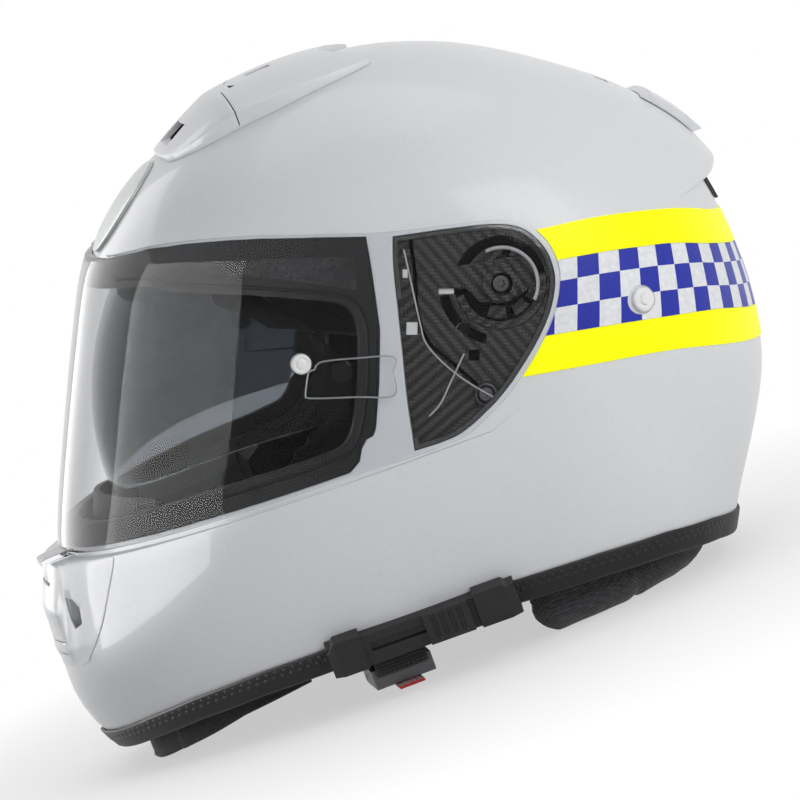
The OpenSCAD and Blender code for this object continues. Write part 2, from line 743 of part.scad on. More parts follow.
// Ratchet buckle near the left cheek, open side down, with its release lever and tab.
buckle_y = 7.6 - strap_y;
buckle_z = 5;
pin_at = 35; // buckle pin, from the strap end of the body
lever_r = 2.9;
module cross_bar(r, w) {
  translate([strap_x - w / 2, buckle_y + pin_at, buckle_z + 2]) rotate([0, 90, 0]) cylinder(h = w, r = r);
}
module buckle_body() {
  color("silver") difference() {
    translate([strap_x - 14, buckle_y, buckle_z]) cube([28, 40, 9]);
    translate([strap_x - 12.4, buckle_y + 3, buckle_z - 1]) cube([24.8, 50, 8.4]);
    cross_bar(1.3, 60);
  }
}
module strap_tongue() {
  color("black") difference() {
    translate([strap_x - 9, buckle_y + 13, buckle_z + 5.3]) cube([18, 46, 1.2]);
    for (y = [16:3:31]) translate([strap_x - 20, buckle_y + y, buckle_z + 4]) cube([40, 1.3, 1.9]);
  }
}
module buckle_lever() {
  color("dimgray") difference() {
    union() {
      translate([strap_x - 11.6, buckle_y + 5, buckle_z - 0.3]) cube([23.2, 28, 1.8]);
      cross_bar(lever_r, 23.2);
    }
    cross_bar(1.6, 60);
  }
}
module buckle_pin() {
  color("silver") cross_bar(1.3, 28);
}
module buckle_tab() {
  color("red") translate([strap_x - 5, buckle_y - 10, buckle_z - 1.6]) cube([12, 20, 1.2]);
}

outer_shell();
bottom_trim();
eyeport_seal();
eps_liner();
chin_eps();
crown_pad();
left_cheek_pad();
right_cheek_pad();
neck_roll();
chin_curtain();
breath_deflector();
visor();
visor_pins();
left_base_plate();
right_base_plate();
left_visor_hub();
right_visor_hub();
plate_screws();
sun_visor();
sun_visor_pins();
sun_visor_cable();
lever_track();
lever_slider();
top_vent_cover();
top_vent_slider();
top_vent_grille();
chin_vent_cover();
chin_vent_shutter();
chin_vent_mesh();
rear_exhaust_cover();
rear_exhaust_insert();
upper_yellow_tape();
check_band();
lower_yellow_tape();
snap_studs();
forehead_badge();
left_strap();
right_strap();
strap_hangers();
buckle_body();
strap_tongue();
buckle_lever();
buckle_pin();
buckle_tab();
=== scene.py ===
"""Dress of the police motorcycle helmet: smooth shell, visor, side plates, bands and lining."""

import json
import math

import bpy
import numpy as np
from mathutils import Matrix, Vector
from mathutils.bvhtree import BVHTree


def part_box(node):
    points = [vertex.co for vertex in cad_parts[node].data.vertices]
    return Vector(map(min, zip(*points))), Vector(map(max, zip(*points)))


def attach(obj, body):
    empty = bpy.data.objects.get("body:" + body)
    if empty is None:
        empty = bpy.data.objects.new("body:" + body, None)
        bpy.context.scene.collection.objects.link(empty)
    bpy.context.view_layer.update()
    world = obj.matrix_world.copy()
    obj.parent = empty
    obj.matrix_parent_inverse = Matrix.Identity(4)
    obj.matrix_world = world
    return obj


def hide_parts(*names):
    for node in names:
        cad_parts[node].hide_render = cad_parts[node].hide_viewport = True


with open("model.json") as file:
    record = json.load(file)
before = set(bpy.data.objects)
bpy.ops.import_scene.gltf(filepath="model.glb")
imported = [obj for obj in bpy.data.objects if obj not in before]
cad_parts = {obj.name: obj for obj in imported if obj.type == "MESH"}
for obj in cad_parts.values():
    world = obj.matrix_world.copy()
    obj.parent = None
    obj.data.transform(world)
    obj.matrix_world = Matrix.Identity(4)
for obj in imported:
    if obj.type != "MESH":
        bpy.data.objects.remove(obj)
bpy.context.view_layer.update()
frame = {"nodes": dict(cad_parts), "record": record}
nodes = frame["nodes"]
MM = 0.001

# Sizes in millimetres; points of the side view are (x, z)
HALF_W, SHELL, LEDGE = 131.0, 5.0, 101.0
CX, CZ = 56.0, 161.0          # visor axis
SUN_X, SUN_Z = -5.4, 122.7    # sun visor axis
ROUND = 2 / 2.3               # how full the helmet is from side to side
VISOR_IN, VISOR_OUT = 0.7, 3.5
VISOR_RELIEF = 1.35           # the pane's inside is lifted by this over the side plate
THROUGH = (220, -220)         # a cutter through the whole helmet, along Y
LEFT_SIDE = (-60, -170)       # a cutter on the left side alone
INSERT_PIN = (-38, 157.6)
LOCATING_PIN = (33.5, 147.8)
PLATE_SCREW = (33.5, 117)
SNAP_STUD, STUD_HOLE, STUD_HOLE_R = (113.3, 131.0), (113, 131), 6.5
PROFILE = [  # turn round the visor axis, and reach from it
    (0, 112), (12, 108), (24, 102.5), (36, 98.7), (48, 96.3), (60, 95.5), (72, 97.3), (84, 100.7),
    (96, 106.5), (106, 112), (116, 118.5), (126, 127), (136, 139), (144, 149.5), (152, 158.7),
    (160, 167), (170, 173.7), (180, 185.7), (188, 200.6), (192, 210.8), (196, 221), (200, 229.5),
    (204, 240), (208, 250.5), (214, 255.5), (222, 254), (236, 245), (252, 233.5), (270, 222.5),
    (285, 194), (298, 163), (306, 152.6), (314, 145.6), (322, 140), (332, 130.5), (344, 120.7)]
EDGE = [(-200, 16), (-170, 20.6), (-150, 26), (-130, 29.5), (-100, 32), (-69, 32.8), (-25, 33.5),
        (18, 33.5), (59, 31.2), (90, 28), (115, 23), (135, 16), (180, 8)]
SIGHT = [(-190, 118), (-147, 114), (-119, 115), (-81, 116), (-44, 116), (-30, 119), (-20, 135),
         (-13, 152), (-9, 166), (-12, 176), (-28, 184), (-52, 194), (-78, 203), (-96, 209), (-190, 214)]
POD = [(19, 196), (43, 191), (63, 185.6), (73, 180), (78.5, 171), (80, 162), (78, 152), (70, 139.5),
       (56, 126.5), (39, 114.5), (20, 106), (8, 104.5), (-4, 105)]
POD_FRONT = [(-4, 105), (0, 126), (5.7, 149), (10, 166), (15, 185), (19, 196)]
VISOR_LOW = [(-200, 106), (-153, 103.4), (-86, 103.6), (-32, 103.6), (-5, 102.6), (9, 102.6),
             (21, 104), (40, 112.5), (58, 125.5), (72, 139), (80, 152), (82.3, 162), (80.5, 172.5),
             (74, 182.5), (63.5, 188), (43, 193.2), (18, 199), (-11, 208), (-35, 215.5), (-49, 219),
             (-64, 222), (-79, 223.6), (-95, 222.6), (-102, 221), (-200, 214)]
BANDS = [[(72, 179.5), (75, 178), (104, 173), (129, 166), (148, 158.5), (165, 149), (190, 136)],
         [(60, 165), (80, 162.2), (105, 157), (123, 152), (139, 146.5), (168, 132), (190, 121)],
         [(50, 136), (66, 132.5), (98, 125.5), (125, 118.5), (147, 111.5), (165, 103), (190, 91)],
         [(40, 121), (51, 118.8), (81, 113), (121, 104), (161, 89.5), (190, 79)]]
VENT_PLAN = [(-57, 0), (-55, 28), (-46, 41), (-34, 48), (-9, 55), (8, 56.5), (28, 54), (41, 47),
             (43, 40), (36, 30), (29, 15), (27, 0)]
PANEL = [(0, 53.5), (38, 55.5), (47, 60), (54, 66), (60, 73.5), (65, 83), (70.5, 95), (72, 100.5)]


# The helmet's own surface
def eased(u, start, slope, end, end_slope):
    """Value at share u of a smooth step that leaves and arrives with the given slopes."""
    return ((2 * u**3 - 3 * u * u + 1) * start + (u**3 - 2 * u * u + u) * slope
            + (3 * u * u - 2 * u**3) * end + (u**3 - u * u) * end_slope)


def profile_table():
    """Side profile as a fine table, run through a soft smoothing that stays crisp at the chin."""
    n = len(PROFILE)

    def knot(i):
        return PROFILE[i % n][0] + 360 * (i // n), PROFILE[i % n][1]

    fine = np.arange(0, 360, 0.25)
    rough = np.zeros(len(fine))
    for k, t in enumerate(fine):
        i = max(j for j in range(n) if PROFILE[j][0] <= t)
        (a0, v0), (a1, v1), (a2, v2), (a3, v3) = [knot(i + j) for j in (-1, 0, 1, 2)]
        span = a2 - a1
        rough[k] = eased((t - a1) / span, v1, (v2 - v0) / (a2 - a0) * span, v2, (v3 - v1) / (a3 - a1) * span)
    blur = np.interp(fine, [0, 150, 165, 188, 196, 216, 225, 280, 300, 340, 360],
                     [4, 4, 3, 3, 1.6, 1.6, 3, 3, 3, 4, 4])
    soft = np.zeros(len(fine))
    for k, t in enumerate(fine):
        w = np.exp(-0.5 * (((fine - t + 180) % 360 - 180) / blur[k]) ** 2)
        soft[k] = (w * rough).sum() / w.sum()
    return fine, soft


TURN, RADIUS = profile_table()


def radius(t):
    """Reach of the side profile from the visor axis at turn t."""
    return np.interp(np.mod(t, 360), TURN, RADIUS, period=360)


def chin(t):
    """How far the chin bar stands out, fading into the sides."""
    t = np.mod(t, 360)
    full = np.where(t < 208, 11.0, 11.0 * (252 - t) / 44)
    front = 11 - 11 / 44 * np.clip(t - 200, 0, 16) ** 2 / 32
    full = np.where((t > 200) & (t < 216), front, full)
    tail = 11 / 44 * np.clip(260 - t, 0, 16) ** 2 / 32
    full = np.where(t >= 244, tail, full)
    return np.where((t < 150) | (t > 260), 0.0, full)


def spoiler(t):
    """Height of the spoiler over the plain shell, before it ends in its lip."""
    t = np.mod(t, 360)
    ramp = np.clip(44 - t, 0, None) * 0.25
    foot = 0.25 * np.clip(52 - t, 0, 16) ** 2 / 32
    return np.where(t > 52, 0.0, np.where(t > 36, foot, ramp))


def swell(t):
    """Height of the crown vent, fast up from the forehead and slowly out over the crown."""
    t = np.mod(t, 360)
    return np.minimum(np.clip((142 - t) / 15, 0, 1), np.clip((t - 92) / 35, 0, 1))


def surface(t, a, d=0.0, low=0.0, tail=0.0):
    """Points of the helmet's surface, t round the visor axis and a from side to side, both in degrees.

    d is the distance from the plain surface, low the share of the chin bar and tail the spoiler's height."""
    t, a = np.broadcast_arrays(np.asarray(t, float), np.asarray(a, float))
    r = radius(t) + d + low * chin(t) + tail * np.exp(-(a / 30) ** 6)
    ar = np.radians(a)
    q = r * np.clip(np.cos(ar), 0, 1) ** ROUND
    y = (HALF_W + d) * np.sign(a) * np.abs(np.sin(ar)) ** ROUND
    return np.stack([CX + q * np.cos(np.radians(t)), y, CZ + q * np.sin(np.radians(t))], -1)


def skin_y(x, z, d=0.0):
    """Half width of the helmet where the side view shows x and z."""
    x, z = np.broadcast_arrays(np.asarray(x, float), np.asarray(z, float))
    t = np.degrees(np.arctan2(z - CZ, x - CX))
    share = np.clip(np.hypot(x - CX, z - CZ) / (radius(t) + d), 0, 1)
    a = np.arccos(share ** (1 / ROUND))
    return (HALF_W + d) * np.sin(a) ** ROUND


def crossing(a, z, out=0.0, low=0.0):
    """Turn at which the surface passes height z below the visor axis, for each side angle."""
    t = np.linspace(182, 260, 1560)
    share = np.clip(np.cos(np.radians(a)), 1e-3, 1) ** ROUND
    z, out = np.broadcast_to(z, share.shape), np.broadcast_to(out, share.shape)
    turns = []
    for one, height, d in zip(share, z, out):
        reach = (radius(t) + d + low * chin(t)) * np.abs(np.sin(np.radians(t)))
        turns.append(np.interp((CZ - height) / one, np.maximum.accumulate(reach), t))
    return np.array(turns)


def curve(points, k=6):
    """Smooth open line through the points, k steps between neighbours."""
    p = [np.array(q, float) for q in points]
    out = []
    for i in range(len(p) - 1):
        a, b, c, d = p[max(i - 1, 0)], p[i], p[i + 1], p[min(i + 2, len(p) - 1)]
        out += [eased(s / k, b, (c - a) / 2, c, (d - b) / 2) for s in range(k)]
    return out + [p[-1]]


def along(line):
    """Distance from the first point of a line to each of its points."""
    return np.concatenate([[0], np.cumsum(np.linalg.norm(np.diff(line, axis=0), axis=1))])


def grown(line, d):
    """Closed outline moved outwards by d (inwards where d is negative)."""
    p = np.array(line, float)
    area = 0.5 * np.sum(p[:, 0] * np.roll(p[:, 1], -1) - np.roll(p[:, 0], -1) * p[:, 1])
    n = 0
    for side in (p - np.roll(p, 1, 0), np.roll(p, -1, 0) - p):
        side = side / np.maximum(np.linalg.norm(side, axis=1, keepdims=True), 1e-9)
        n = n + np.stack([side[:, 1], -side[:, 0]], 1) * np.sign(area)
    n /= np.maximum((n * n).sum(1, keepdims=True), 0.3) / 2
    return plain_outline(p + n * d)


def plain_outline(line):
    """Outline without the small loops and doubled points that moving it can leave."""
    p = [np.array(q, float) for q in line]
    i = 0
    while i < len(p):
        a, b = p[i], p[(i + 1) % len(p)]
        for k in range(min(8, len(p) - 3), 1, -1):
            c, e = p[(i + k) % len(p)], p[(i + k + 1) % len(p)]
            r, s = b - a, e - c
            cross = r[0] * s[1] - r[1] * s[0]
            if abs(cross) < 1e-9:
                continue
            t = ((c - a)[0] * s[1] - (c - a)[1] * s[0]) / cross
            u = ((c - a)[0] * r[1] - (c - a)[1] * r[0]) / cross
            if 0 < t < 1 and 0 < u < 1:
                drop = {(i + n) % len(p) for n in range(2, k + 1)}
                p[(i + 1) % len(p)] = a + t * r
                p = [q for n, q in enumerate(p) if n not in drop]
                i = -1
                break
        i += 1
    out = [q for n, q in enumerate(p) if np.linalg.norm(q - p[n - 1]) > 0.04]
    return [tuple(float(c) for c in q) for q in out]


def closed(line, *more):
    """One closed outline from lines that follow each other."""
    return plain_outline([q for part in (line, *more) for q in part])


def edge_height(x):
    """Height of the lower edge at x."""
    return np.interp(x, *zip(*EDGE))


# Workshop steps
def only(*objs):
    """Selects these pieces and no other, the last of them active."""
    bpy.ops.object.select_all(action="DESELECT")
    for o in objs:
        o.select_set(True)
    bpy.context.view_layer.objects.active = objs[-1]


def editing(obj, mode="FACE"):
    """Opens a piece in edit mode with all of it selected."""
    only(obj)
    bpy.ops.object.mode_set(mode="EDIT")
    bpy.ops.mesh.select_mode(type=mode)
    bpy.ops.mesh.select_all(action="SELECT")


def done():
    """Leaves edit mode and gives the piece back."""
    bpy.ops.object.mode_set(mode="OBJECT")
    return bpy.context.object


def points_of(obj):
    """Vertices of a piece in millimetres."""
    co = np.zeros(len(obj.data.vertices) * 3)
    obj.data.vertices.foreach_get("co", co)
    return co.reshape(-1, 3) / MM


def normals_of(obj):
    """Direction that each vertex of a piece faces."""
    normal = np.zeros(len(obj.data.vertices) * 3)
    obj.data.vertices.foreach_get("normal", normal)
    return normal.reshape(-1, 3)


def move_points(obj, co):
    """Moves the vertices of a piece to places in millimetres."""
    obj.data.vertices.foreach_set("co", (np.asarray(co, float) * MM).ravel())
    obj.data.update()


def set_lay(obj, lay, u, v):
    """Writes the lay of a pattern, u and v for each vertex, into a UV map."""
    index = np.zeros(len(obj.data.loops), int)
    obj.data.loops.foreach_get("vertex_index", index)
    lay.data.foreach_set("uv", np.stack([u[index], v[index]], 1).ravel())


def named(obj, name):
    """Gives a piece and its mesh a name."""
    obj.name = obj.data.name = name
    return obj


def settle(obj, name):
    """Puts the place, turn and size of a piece into its mesh and names it."""
    only(obj)
    bpy.ops.object.transform_apply(location=True, rotation=True, scale=True)
    return named(obj, name)


def face_out(obj):
    """Merges doubled points and turns all faces outwards."""
    editing(obj)
    bpy.ops.mesh.remove_doubles(threshold=1e-6)
    bpy.ops.mesh.select_all(action="SELECT")
    bpy.ops.mesh.normals_make_consistent(inside=False)
    return done()


def turned_over(obj):
    """Flips all faces of a piece."""
    editing(obj)
    bpy.ops.mesh.flip_normals()
    return done()


def smooth(obj, angle=30):
    """Smooth shading, with the edges sharper than the angle left crisp."""
    only(obj)
    bpy.ops.object.shade_smooth_by_angle(angle=math.radians(angle))
    return obj


def applied(obj, kind, **settings):
    """Adds a modifier with its settings and applies it."""
    m = obj.modifiers.new("step", kind)
    for key, value in settings.items():
        setattr(m, key, value)
    only(obj)
    bpy.ops.object.modifier_apply(modifier="step")
    return obj


def trimmed(obj, cutter, how="DIFFERENCE"):
    """Cuts one closed piece with another, as a saw or a mould would, and takes the cutter away."""
    whole = obj.data.copy()
    for solver in ("MANIFOLD", "EXACT"):
        applied(obj, "BOOLEAN", object=cutter, operation=how, solver=solver)
        if len(obj.data.polygons):
            break
        obj.data = whole.copy()
    bpy.data.objects.remove(cutter)
    return obj


def rounded(obj, width, steps=2, angle=35):
    """Rounds the edges that are sharper than the angle."""
    return applied(obj, "BEVEL", width=width * MM, segments=steps, limit_method="ANGLE",
                   angle_limit=math.radians(angle), use_clamp_overlap=True)


def joined(name, objs):
    """Makes one piece of several."""
    only(*objs)
    if len(objs) > 1:
        bpy.ops.object.join()
    return named(bpy.context.object, name)


def copy_of(obj, name):
    """A second piece with its own mesh."""
    twin = obj.copy()
    twin.data = obj.data.copy()
    bpy.context.scene.collection.objects.link(twin)
    return named(twin, name)


def mirrored(obj, name):
    """The same piece for the other side of the helmet."""
    twin = copy_of(obj, name)
    move_points(twin, points_of(twin) * np.array([1, -1, 1]))
    turned_over(twin)
    return twin


BALLS = {}


def ball_form(segments, rings, place):
    """Closed body with its poles at the visor axis; place gives a point for each row and ring."""
    size = (segments, rings)
    if size not in BALLS:
        bpy.ops.mesh.primitive_uv_sphere_add(segments=segments, ring_count=rings, radius=1,
                                             rotation=(math.pi / 2, 0, 0))
        ball = settle(bpy.context.object, "ball")
        BALLS[size] = ball.data.copy()
        bpy.data.objects.remove(ball)
    obj = bpy.data.objects.new("form", BALLS[size].copy())
    bpy.context.scene.collection.objects.link(obj)
    co = points_of(obj) * MM
    t = np.degrees(np.arctan2(co[:, 2], co[:, 0])) % 360
    a = np.degrees(np.arcsin(np.clip(co[:, 1], -1, 1)))
    move_points(obj, place(np.rint(t / 360 * segments).astype(int) % segments,
                           np.rint((a + 90) / 180 * rings).astype(int)))
    return obj


def even_form(rows, rings, point):
    """Closed body from point(t, a) on an even net of turns and side angles."""
    return ball_form(rows, rings, lambda i, j: point(360.0 * i / rows, -90 + 180.0 * j / rings))


def form(d, low=0.0, rows=240, rings=96, tail=False):
    """Plain form of the helmet at distance d, with the chin bar and the spoiler where asked."""
    return even_form(rows, rings, lambda t, a: surface(t, a, d, low, spoiler(t) if tail else 0.0))


def drawn_out(corners, way):
    """Closed outline of corner points, drawn straight along by way."""
    bpy.ops.mesh.primitive_circle_add(vertices=len(corners), fill_type="NGON")
    obj = bpy.context.object
    move_points(obj, corners)
    editing(obj)
    bpy.ops.mesh.extrude_region_move(TRANSFORM_OT_translate={"value": tuple(c * MM for c in way)})
    done()
    return face_out(obj)


def prism(line, y0=THROUGH[0], y1=THROUGH[1]):
    """Side-view outline drawn through from y0 to y1."""
    return drawn_out([(x, y0, z) for x, z in line], (0, y1 - y0, 0))


def left_prism(line):
    """Side-view outline drawn through the left side."""
    return prism(line, *LEFT_SIDE)


def upright(line, z0, z1):
    """Plan outline drawn up from z0 to z1."""
    return drawn_out([(x, y, z0) for x, y in line], (0, 0, z1 - z0))


def front_prism(line):
    """Front-view outline drawn through the chin."""
    return drawn_out([(-200, y, z) for y, z in line], (80, 0, 0))


def block(size, at):
    """Box of this size about a place."""
    bpy.ops.mesh.primitive_cube_add(size=1, location=Vector(at) * MM, scale=Vector(size) * MM)
    return settle(bpy.context.object, "block")


def rod(r, place, steps=32):
    """Round cutter through the left side, along the visor axis direction."""
    y0, y1 = LEFT_SIDE
    bpy.ops.mesh.primitive_cylinder_add(vertices=steps, radius=r * MM, depth=abs(y1 - y0) * MM,
                                        location=Vector((place[0], (y0 + y1) / 2, place[1])) * MM,
                                        rotation=(math.pi / 2, 0, 0))
    return settle(bpy.context.object, "rod")


def plate(outline, d0, d1, round_edge=0.35, step=2.0, name="plate"):
    """Flat-pressed part of the left side: an outline in the side view between two depths."""
    p = np.array(outline)
    (x0, z0), (x1, z1) = p.min(0) - 3, p.max(0) + 3
    nx, nz = max(2, int((x1 - x0) / step)), max(2, int((z1 - z0) / step))
    bpy.ops.mesh.primitive_grid_add(x_subdivisions=nx, y_subdivisions=nz, size=2)
    obj = bpy.context.object
    editing(obj)
    bpy.ops.mesh.extrude_region_move(TRANSFORM_OT_translate={"value": (0, 0, 1)})
    done()
    co = points_of(obj) * MM
    x, z = x0 + (co[:, 0] + 1) / 2 * (x1 - x0), z0 + (co[:, 1] + 1) / 2 * (z1 - z0)
    y = np.where(co[:, 2] > 0.5, skin_y(x, z, d0), skin_y(x, z, d1))
    move_points(obj, np.stack([x, -y, z], 1))
    trimmed(face_out(obj), left_prism(outline), "INTERSECT")
    if round_edge:
        rounded(obj, round_edge, 2)
    return named(smooth(obj, 35), name)


def turned_part(section, place, steps=48, name="turned"):
    """Round part on the left side: (radius, depth) points spun about an axis along Y."""
    x, z = place
    bpy.ops.mesh.primitive_circle_add(vertices=len(section), fill_type="NOTHING")
    obj = bpy.context.object
    move_points(obj, [(x + r, -y, z) for r, y in section])
    editing(obj, "EDGE")
    bpy.ops.mesh.spin(steps=steps, angle=2 * math.pi, center=Vector((x, 0, z)) * MM, axis=(0, 1, 0))
    bpy.ops.mesh.select_all(action="SELECT")
    bpy.ops.mesh.remove_doubles(threshold=2e-6)
    bpy.ops.mesh.select_all(action="SELECT")
    bpy.ops.mesh.normals_make_consistent(inside=False)
    done()
    return smooth(named(obj, name), 35)


def tube(path, r, steps=10, name="bead"):
    """Round bead of radius r along a line of points."""
    data = bpy.data.curves.new(name, "CURVE")
    data.dimensions = "3D"
    line = data.splines.new("POLY")
    line.points.add(len(path) - 1)
    for p, q in zip(line.points, path):
        p.co = (q[0] * MM, q[1] * MM, q[2] * MM, 1)
    data.bevel_depth, data.bevel_resolution, data.use_fill_caps = r * MM, max(1, steps // 4), True
    obj = bpy.data.objects.new(name, data)
    bpy.context.scene.collection.objects.link(obj)
    only(obj)
    bpy.ops.object.convert(target="MESH")
    return smooth(face_out(named(bpy.context.object, name)), 50)


def on_side(line, d):
    """Side-view line laid on the left side at distance d."""
    return [(x, -float(skin_y(x, z, d)), z) for x, z in line]


def arc(r, start, end, n=24):
    """Side-view arc round the visor axis, in degrees."""
    return [(CX + r * math.cos(math.radians(start + (end - start) * k / n)),
             CZ + r * math.sin(math.radians(start + (end - start) * k / n))) for k in range(n + 1)]


def fitted(obj, finish, node, body="helmet"):
    """Paints a finished piece, hides the node it stands for and puts it on its body."""
    finish.paint(obj)
    if node:
        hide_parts(node)
    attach(obj, body)


def fit_both(obj, finish, body, left_node=None, right_node=None):
    """Fits a piece of the left side, and its mirrored twin on the right."""
    other = mirrored(obj, obj.name + "_right")
    for o, node in ((obj, left_node), (other, right_node)):
        fitted(o, finish, node, body)


# Finishes: small tools for node trees
def wire(tree, source, target):
    """Feeds a socket from another node's output, or sets it to a plain value."""
    if isinstance(source, bpy.types.NodeSocket):
        tree.links.new(source, target)
    else:
        target.default_value = source


def group(name, values, outputs):
    """Node group fed by a vector and plain values, with its number outputs."""
    g = bpy.data.node_groups.new(name, "ShaderNodeTree")
    g.interface.new_socket("Vector", in_out="INPUT", socket_type="NodeSocketVector")
    for label, value in values.items():
        g.interface.new_socket(label, in_out="INPUT", socket_type="NodeSocketFloat").default_value = value
    for label in outputs:
        g.interface.new_socket(label, in_out="OUTPUT", socket_type="NodeSocketFloat")
    return g, g.nodes.new("NodeGroupInput").outputs, g.nodes.new("NodeGroupOutput").inputs


def sums(tree, operation, *values):
    """Math node on one to three values."""
    node = tree.nodes.new("ShaderNodeMath")
    node.operation = operation
    for socket, value in zip(node.inputs, values):
        wire(tree, value, socket)
    return node.outputs[0]


def ranged(tree, value, low, high, to_low=0.0, to_high=1.0):
    """Maps a value from one range to another."""
    node = tree.nodes.new("ShaderNodeMapRange")
    for label, x in (("Value", value), ("From Min", low), ("From Max", high), ("To Min", to_low),
                     ("To Max", to_high)):
        wire(tree, x, node.inputs[label])
    return node.outputs[0]


def noise(tree, where, scale, detail=2.0, rough=0.5):
    """Cloudy noise between 0 and 1."""
    node = tree.nodes.new("ShaderNodeTexNoise")
    for label, x in (("Vector", where), ("Scale", scale), ("Detail", detail), ("Roughness", rough)):
        wire(tree, x, node.inputs[label])
    return node.outputs["Fac"]


def blend(tree, factor, a, b):
    """Mixes two colours, each a plain one or an output."""
    node = tree.nodes.new("ShaderNodeMix")
    node.data_type = "RGBA"
    wire(tree, factor, node.inputs[0])
    for socket, value in ((node.inputs[6], a), (node.inputs[7], b)):
        wire(tree, (*value, 1) if isinstance(value, tuple) else value, socket)
    return node.outputs[2]


def parts_of(tree, vector):
    """The three numbers of a vector."""
    split = tree.nodes.new("ShaderNodeSeparateXYZ")
    wire(tree, vector, split.inputs[0])
    return split.outputs


def turned_or_stretched(tree, vector, label, values):
    """Vector with a turn or a stretch put on it."""
    mapping = tree.nodes.new("ShaderNodeMapping")
    mapping.inputs[label].default_value = values
    wire(tree, vector, mapping.inputs["Vector"])
    return mapping.outputs[0]


def make_speckle():
    """Mottle between 0 and 1 from a coarse and a fine noise, for grain and small colour changes."""
    g, put, out = group("Speckle", {"Scale": 400.0, "Contrast": 0.3}, ["Value"])
    coarse = noise(g, put["Vector"], sums(g, "MULTIPLY", put["Scale"], 0.12))
    fine = noise(g, put["Vector"], put["Scale"])
    both = sums(g, "ADD", sums(g, "MULTIPLY", coarse, 0.4), sums(g, "MULTIPLY", fine, 0.6))
    half = sums(g, "MULTIPLY", put["Contrast"], 0.5)
    wire(g, ranged(g, both, sums(g, "SUBTRACT", 0.5, half), sums(g, "ADD", 0.5, half)), out["Value"])
    return g


def make_twill():
    """Twill: each tow passes over two and under two, one step further on each row. Its Shade is a painted
    sheen: the tows of one direction are lighter than those across them, and each tow is lighter along its
    crest.
    """
    g, put, out = group("Twill", {"Cell": 0.0022, "Slant": 1.0}, ["Shade", "Height"])
    place = parts_of(g, put["Vector"])
    u, v = (sums(g, "DIVIDE", place[axis], put["Cell"]) for axis in ("X", "Z"))
    step = sums(g, "ADD", sums(g, "FLOOR", u), sums(g, "MULTIPLY", sums(g, "FLOOR", v), put["Slant"]))
    warp = sums(g, "LESS_THAN", sums(g, "FLOORED_MODULO", step, 4.0), 1.5)
    across_u, across_v = (sums(g, "SINE", sums(g, "MULTIPLY", sums(g, "FRACT", w), math.pi)) for w in (u, v))
    height = sums(g, "ADD", sums(g, "MULTIPLY", warp, across_u),
                  sums(g, "MULTIPLY", sums(g, "SUBTRACT", 1.0, warp), across_v))
    # painted sheen: lighter tows one way, and a lighter crest on every tow
    shade = sums(g, "ADD", sums(g, "MULTIPLY", warp, 0.62), sums(g, "MULTIPLY", height, 0.38))
    wire(g, shade, out["Shade"])
    wire(g, height, out["Height"])
    return g


def make_cloth():
    """Plain cloth: threads over and under, with uneven yarn; its Shade follows the height, so it carries
    painted shade where the threads dip as well as the yarn's own uneven tone.
    """
    g, put, out = group("Cloth", {"Threads": 1400.0}, ["Shade", "Height"])
    place = parts_of(g, put["Vector"])
    x, y, z = (sums(g, "SINE", sums(g, "MULTIPLY", place[axis], sums(g, "MULTIPLY", put["Threads"], math.pi)))
               for axis in ("X", "Y", "Z"))
    weave = sums(g, "ADD", sums(g, "MULTIPLY", x, z), sums(g, "MULTIPLY", y, z))
    uneven = noise(g, put["Vector"], sums(g, "MULTIPLY", put["Threads"], 0.35), 3)
    height = sums(g, "ADD", sums(g, "MULTIPLY", weave, 0.3), uneven)
    wire(g, ranged(g, height, 0.2, 0.85), out["Height"])
    # painted shade in the dips between threads, together with the yarn's uneven tone
    wire(g, ranged(g, height, 0.1, 0.95), out["Shade"])
    return g


def make_handling():
    """Faint smears and dust that change the gloss of a hard surface."""
    g, put, out = group("Handling", {"Clean": 0.2, "Dull": 0.3}, ["Roughness", "Height"])
    smear = noise(g, put["Vector"], 22.0, 4, 0.6)
    wire(g, ranged(g, smear, 0.35, 0.7, put["Clean"], put["Dull"]), out["Roughness"])
    wire(g, noise(g, put["Vector"], 140.0, 1), out["Height"])
    return g


SPECKLE, TWILL, CLOTH, HANDLING = make_speckle(), make_twill(), make_cloth(), make_handling()


class Finish:
    """One finish: a Principled shader with its object coordinates at hand."""

    def __init__(self, name, **plain):
        self.mat = bpy.data.materials.new(name)
        self.mat.use_nodes = True
        self.tree = self.mat.node_tree
        self.shader = self.tree.nodes["Principled BSDF"]
        self.where = self.tree.nodes.new("ShaderNodeTexCoord").outputs["Object"]
        for label, value in plain.items():
            self.feed(label.replace("_", " "), value)

    def feed(self, label, value):
        """Sets or wires one socket of the shader."""
        wire(self.tree, value, self.shader.inputs[label])

    def use(self, g, **values):
        """Outputs of a node group on this finish's coordinates."""
        node = self.tree.nodes.new("ShaderNodeGroup")
        node.node_tree = g
        for label, value in {"Vector": self.where, **values}.items():
            wire(self.tree, value, node.inputs[label])
        return node.outputs

    def colours(self, factor, a, b):
        """Base colour between a and b."""
        self.feed("Base Color", blend(self.tree, factor, a, b))

    def handled(self, clean, dull):
        """Gloss between clean and dull, as handling leaves it; gives the smears' height back."""
        hand = self.use(HANDLING, Clean=clean, Dull=dull)
        self.feed("Roughness", hand["Roughness"])
        return hand["Height"]

    def relief(self, height, distance):
        """Bumps of this distance, in metres."""
        bump = self.tree.nodes.new("ShaderNodeBump")
        for label, value in (("Strength", 1.0), ("Distance", distance), ("Height", height)):
            wire(self.tree, value, bump.inputs[label])
        self.feed("Normal", bump.outputs[0])

    def uv(self):
        """The two coordinates of the piece's own lay."""
        node = self.tree.nodes.new("ShaderNodeUVMap")
        node.uv_map = "lay"
        return parts_of(self.tree, node.outputs[0])[:2]

    def paint(self, *objs):
        """Puts the finish on all slots of these pieces."""
        for o in objs:
            if not o.data.materials:
                o.data.materials.append(self.mat)
            for k in range(len(o.data.materials)):
                o.data.materials[k] = self.mat


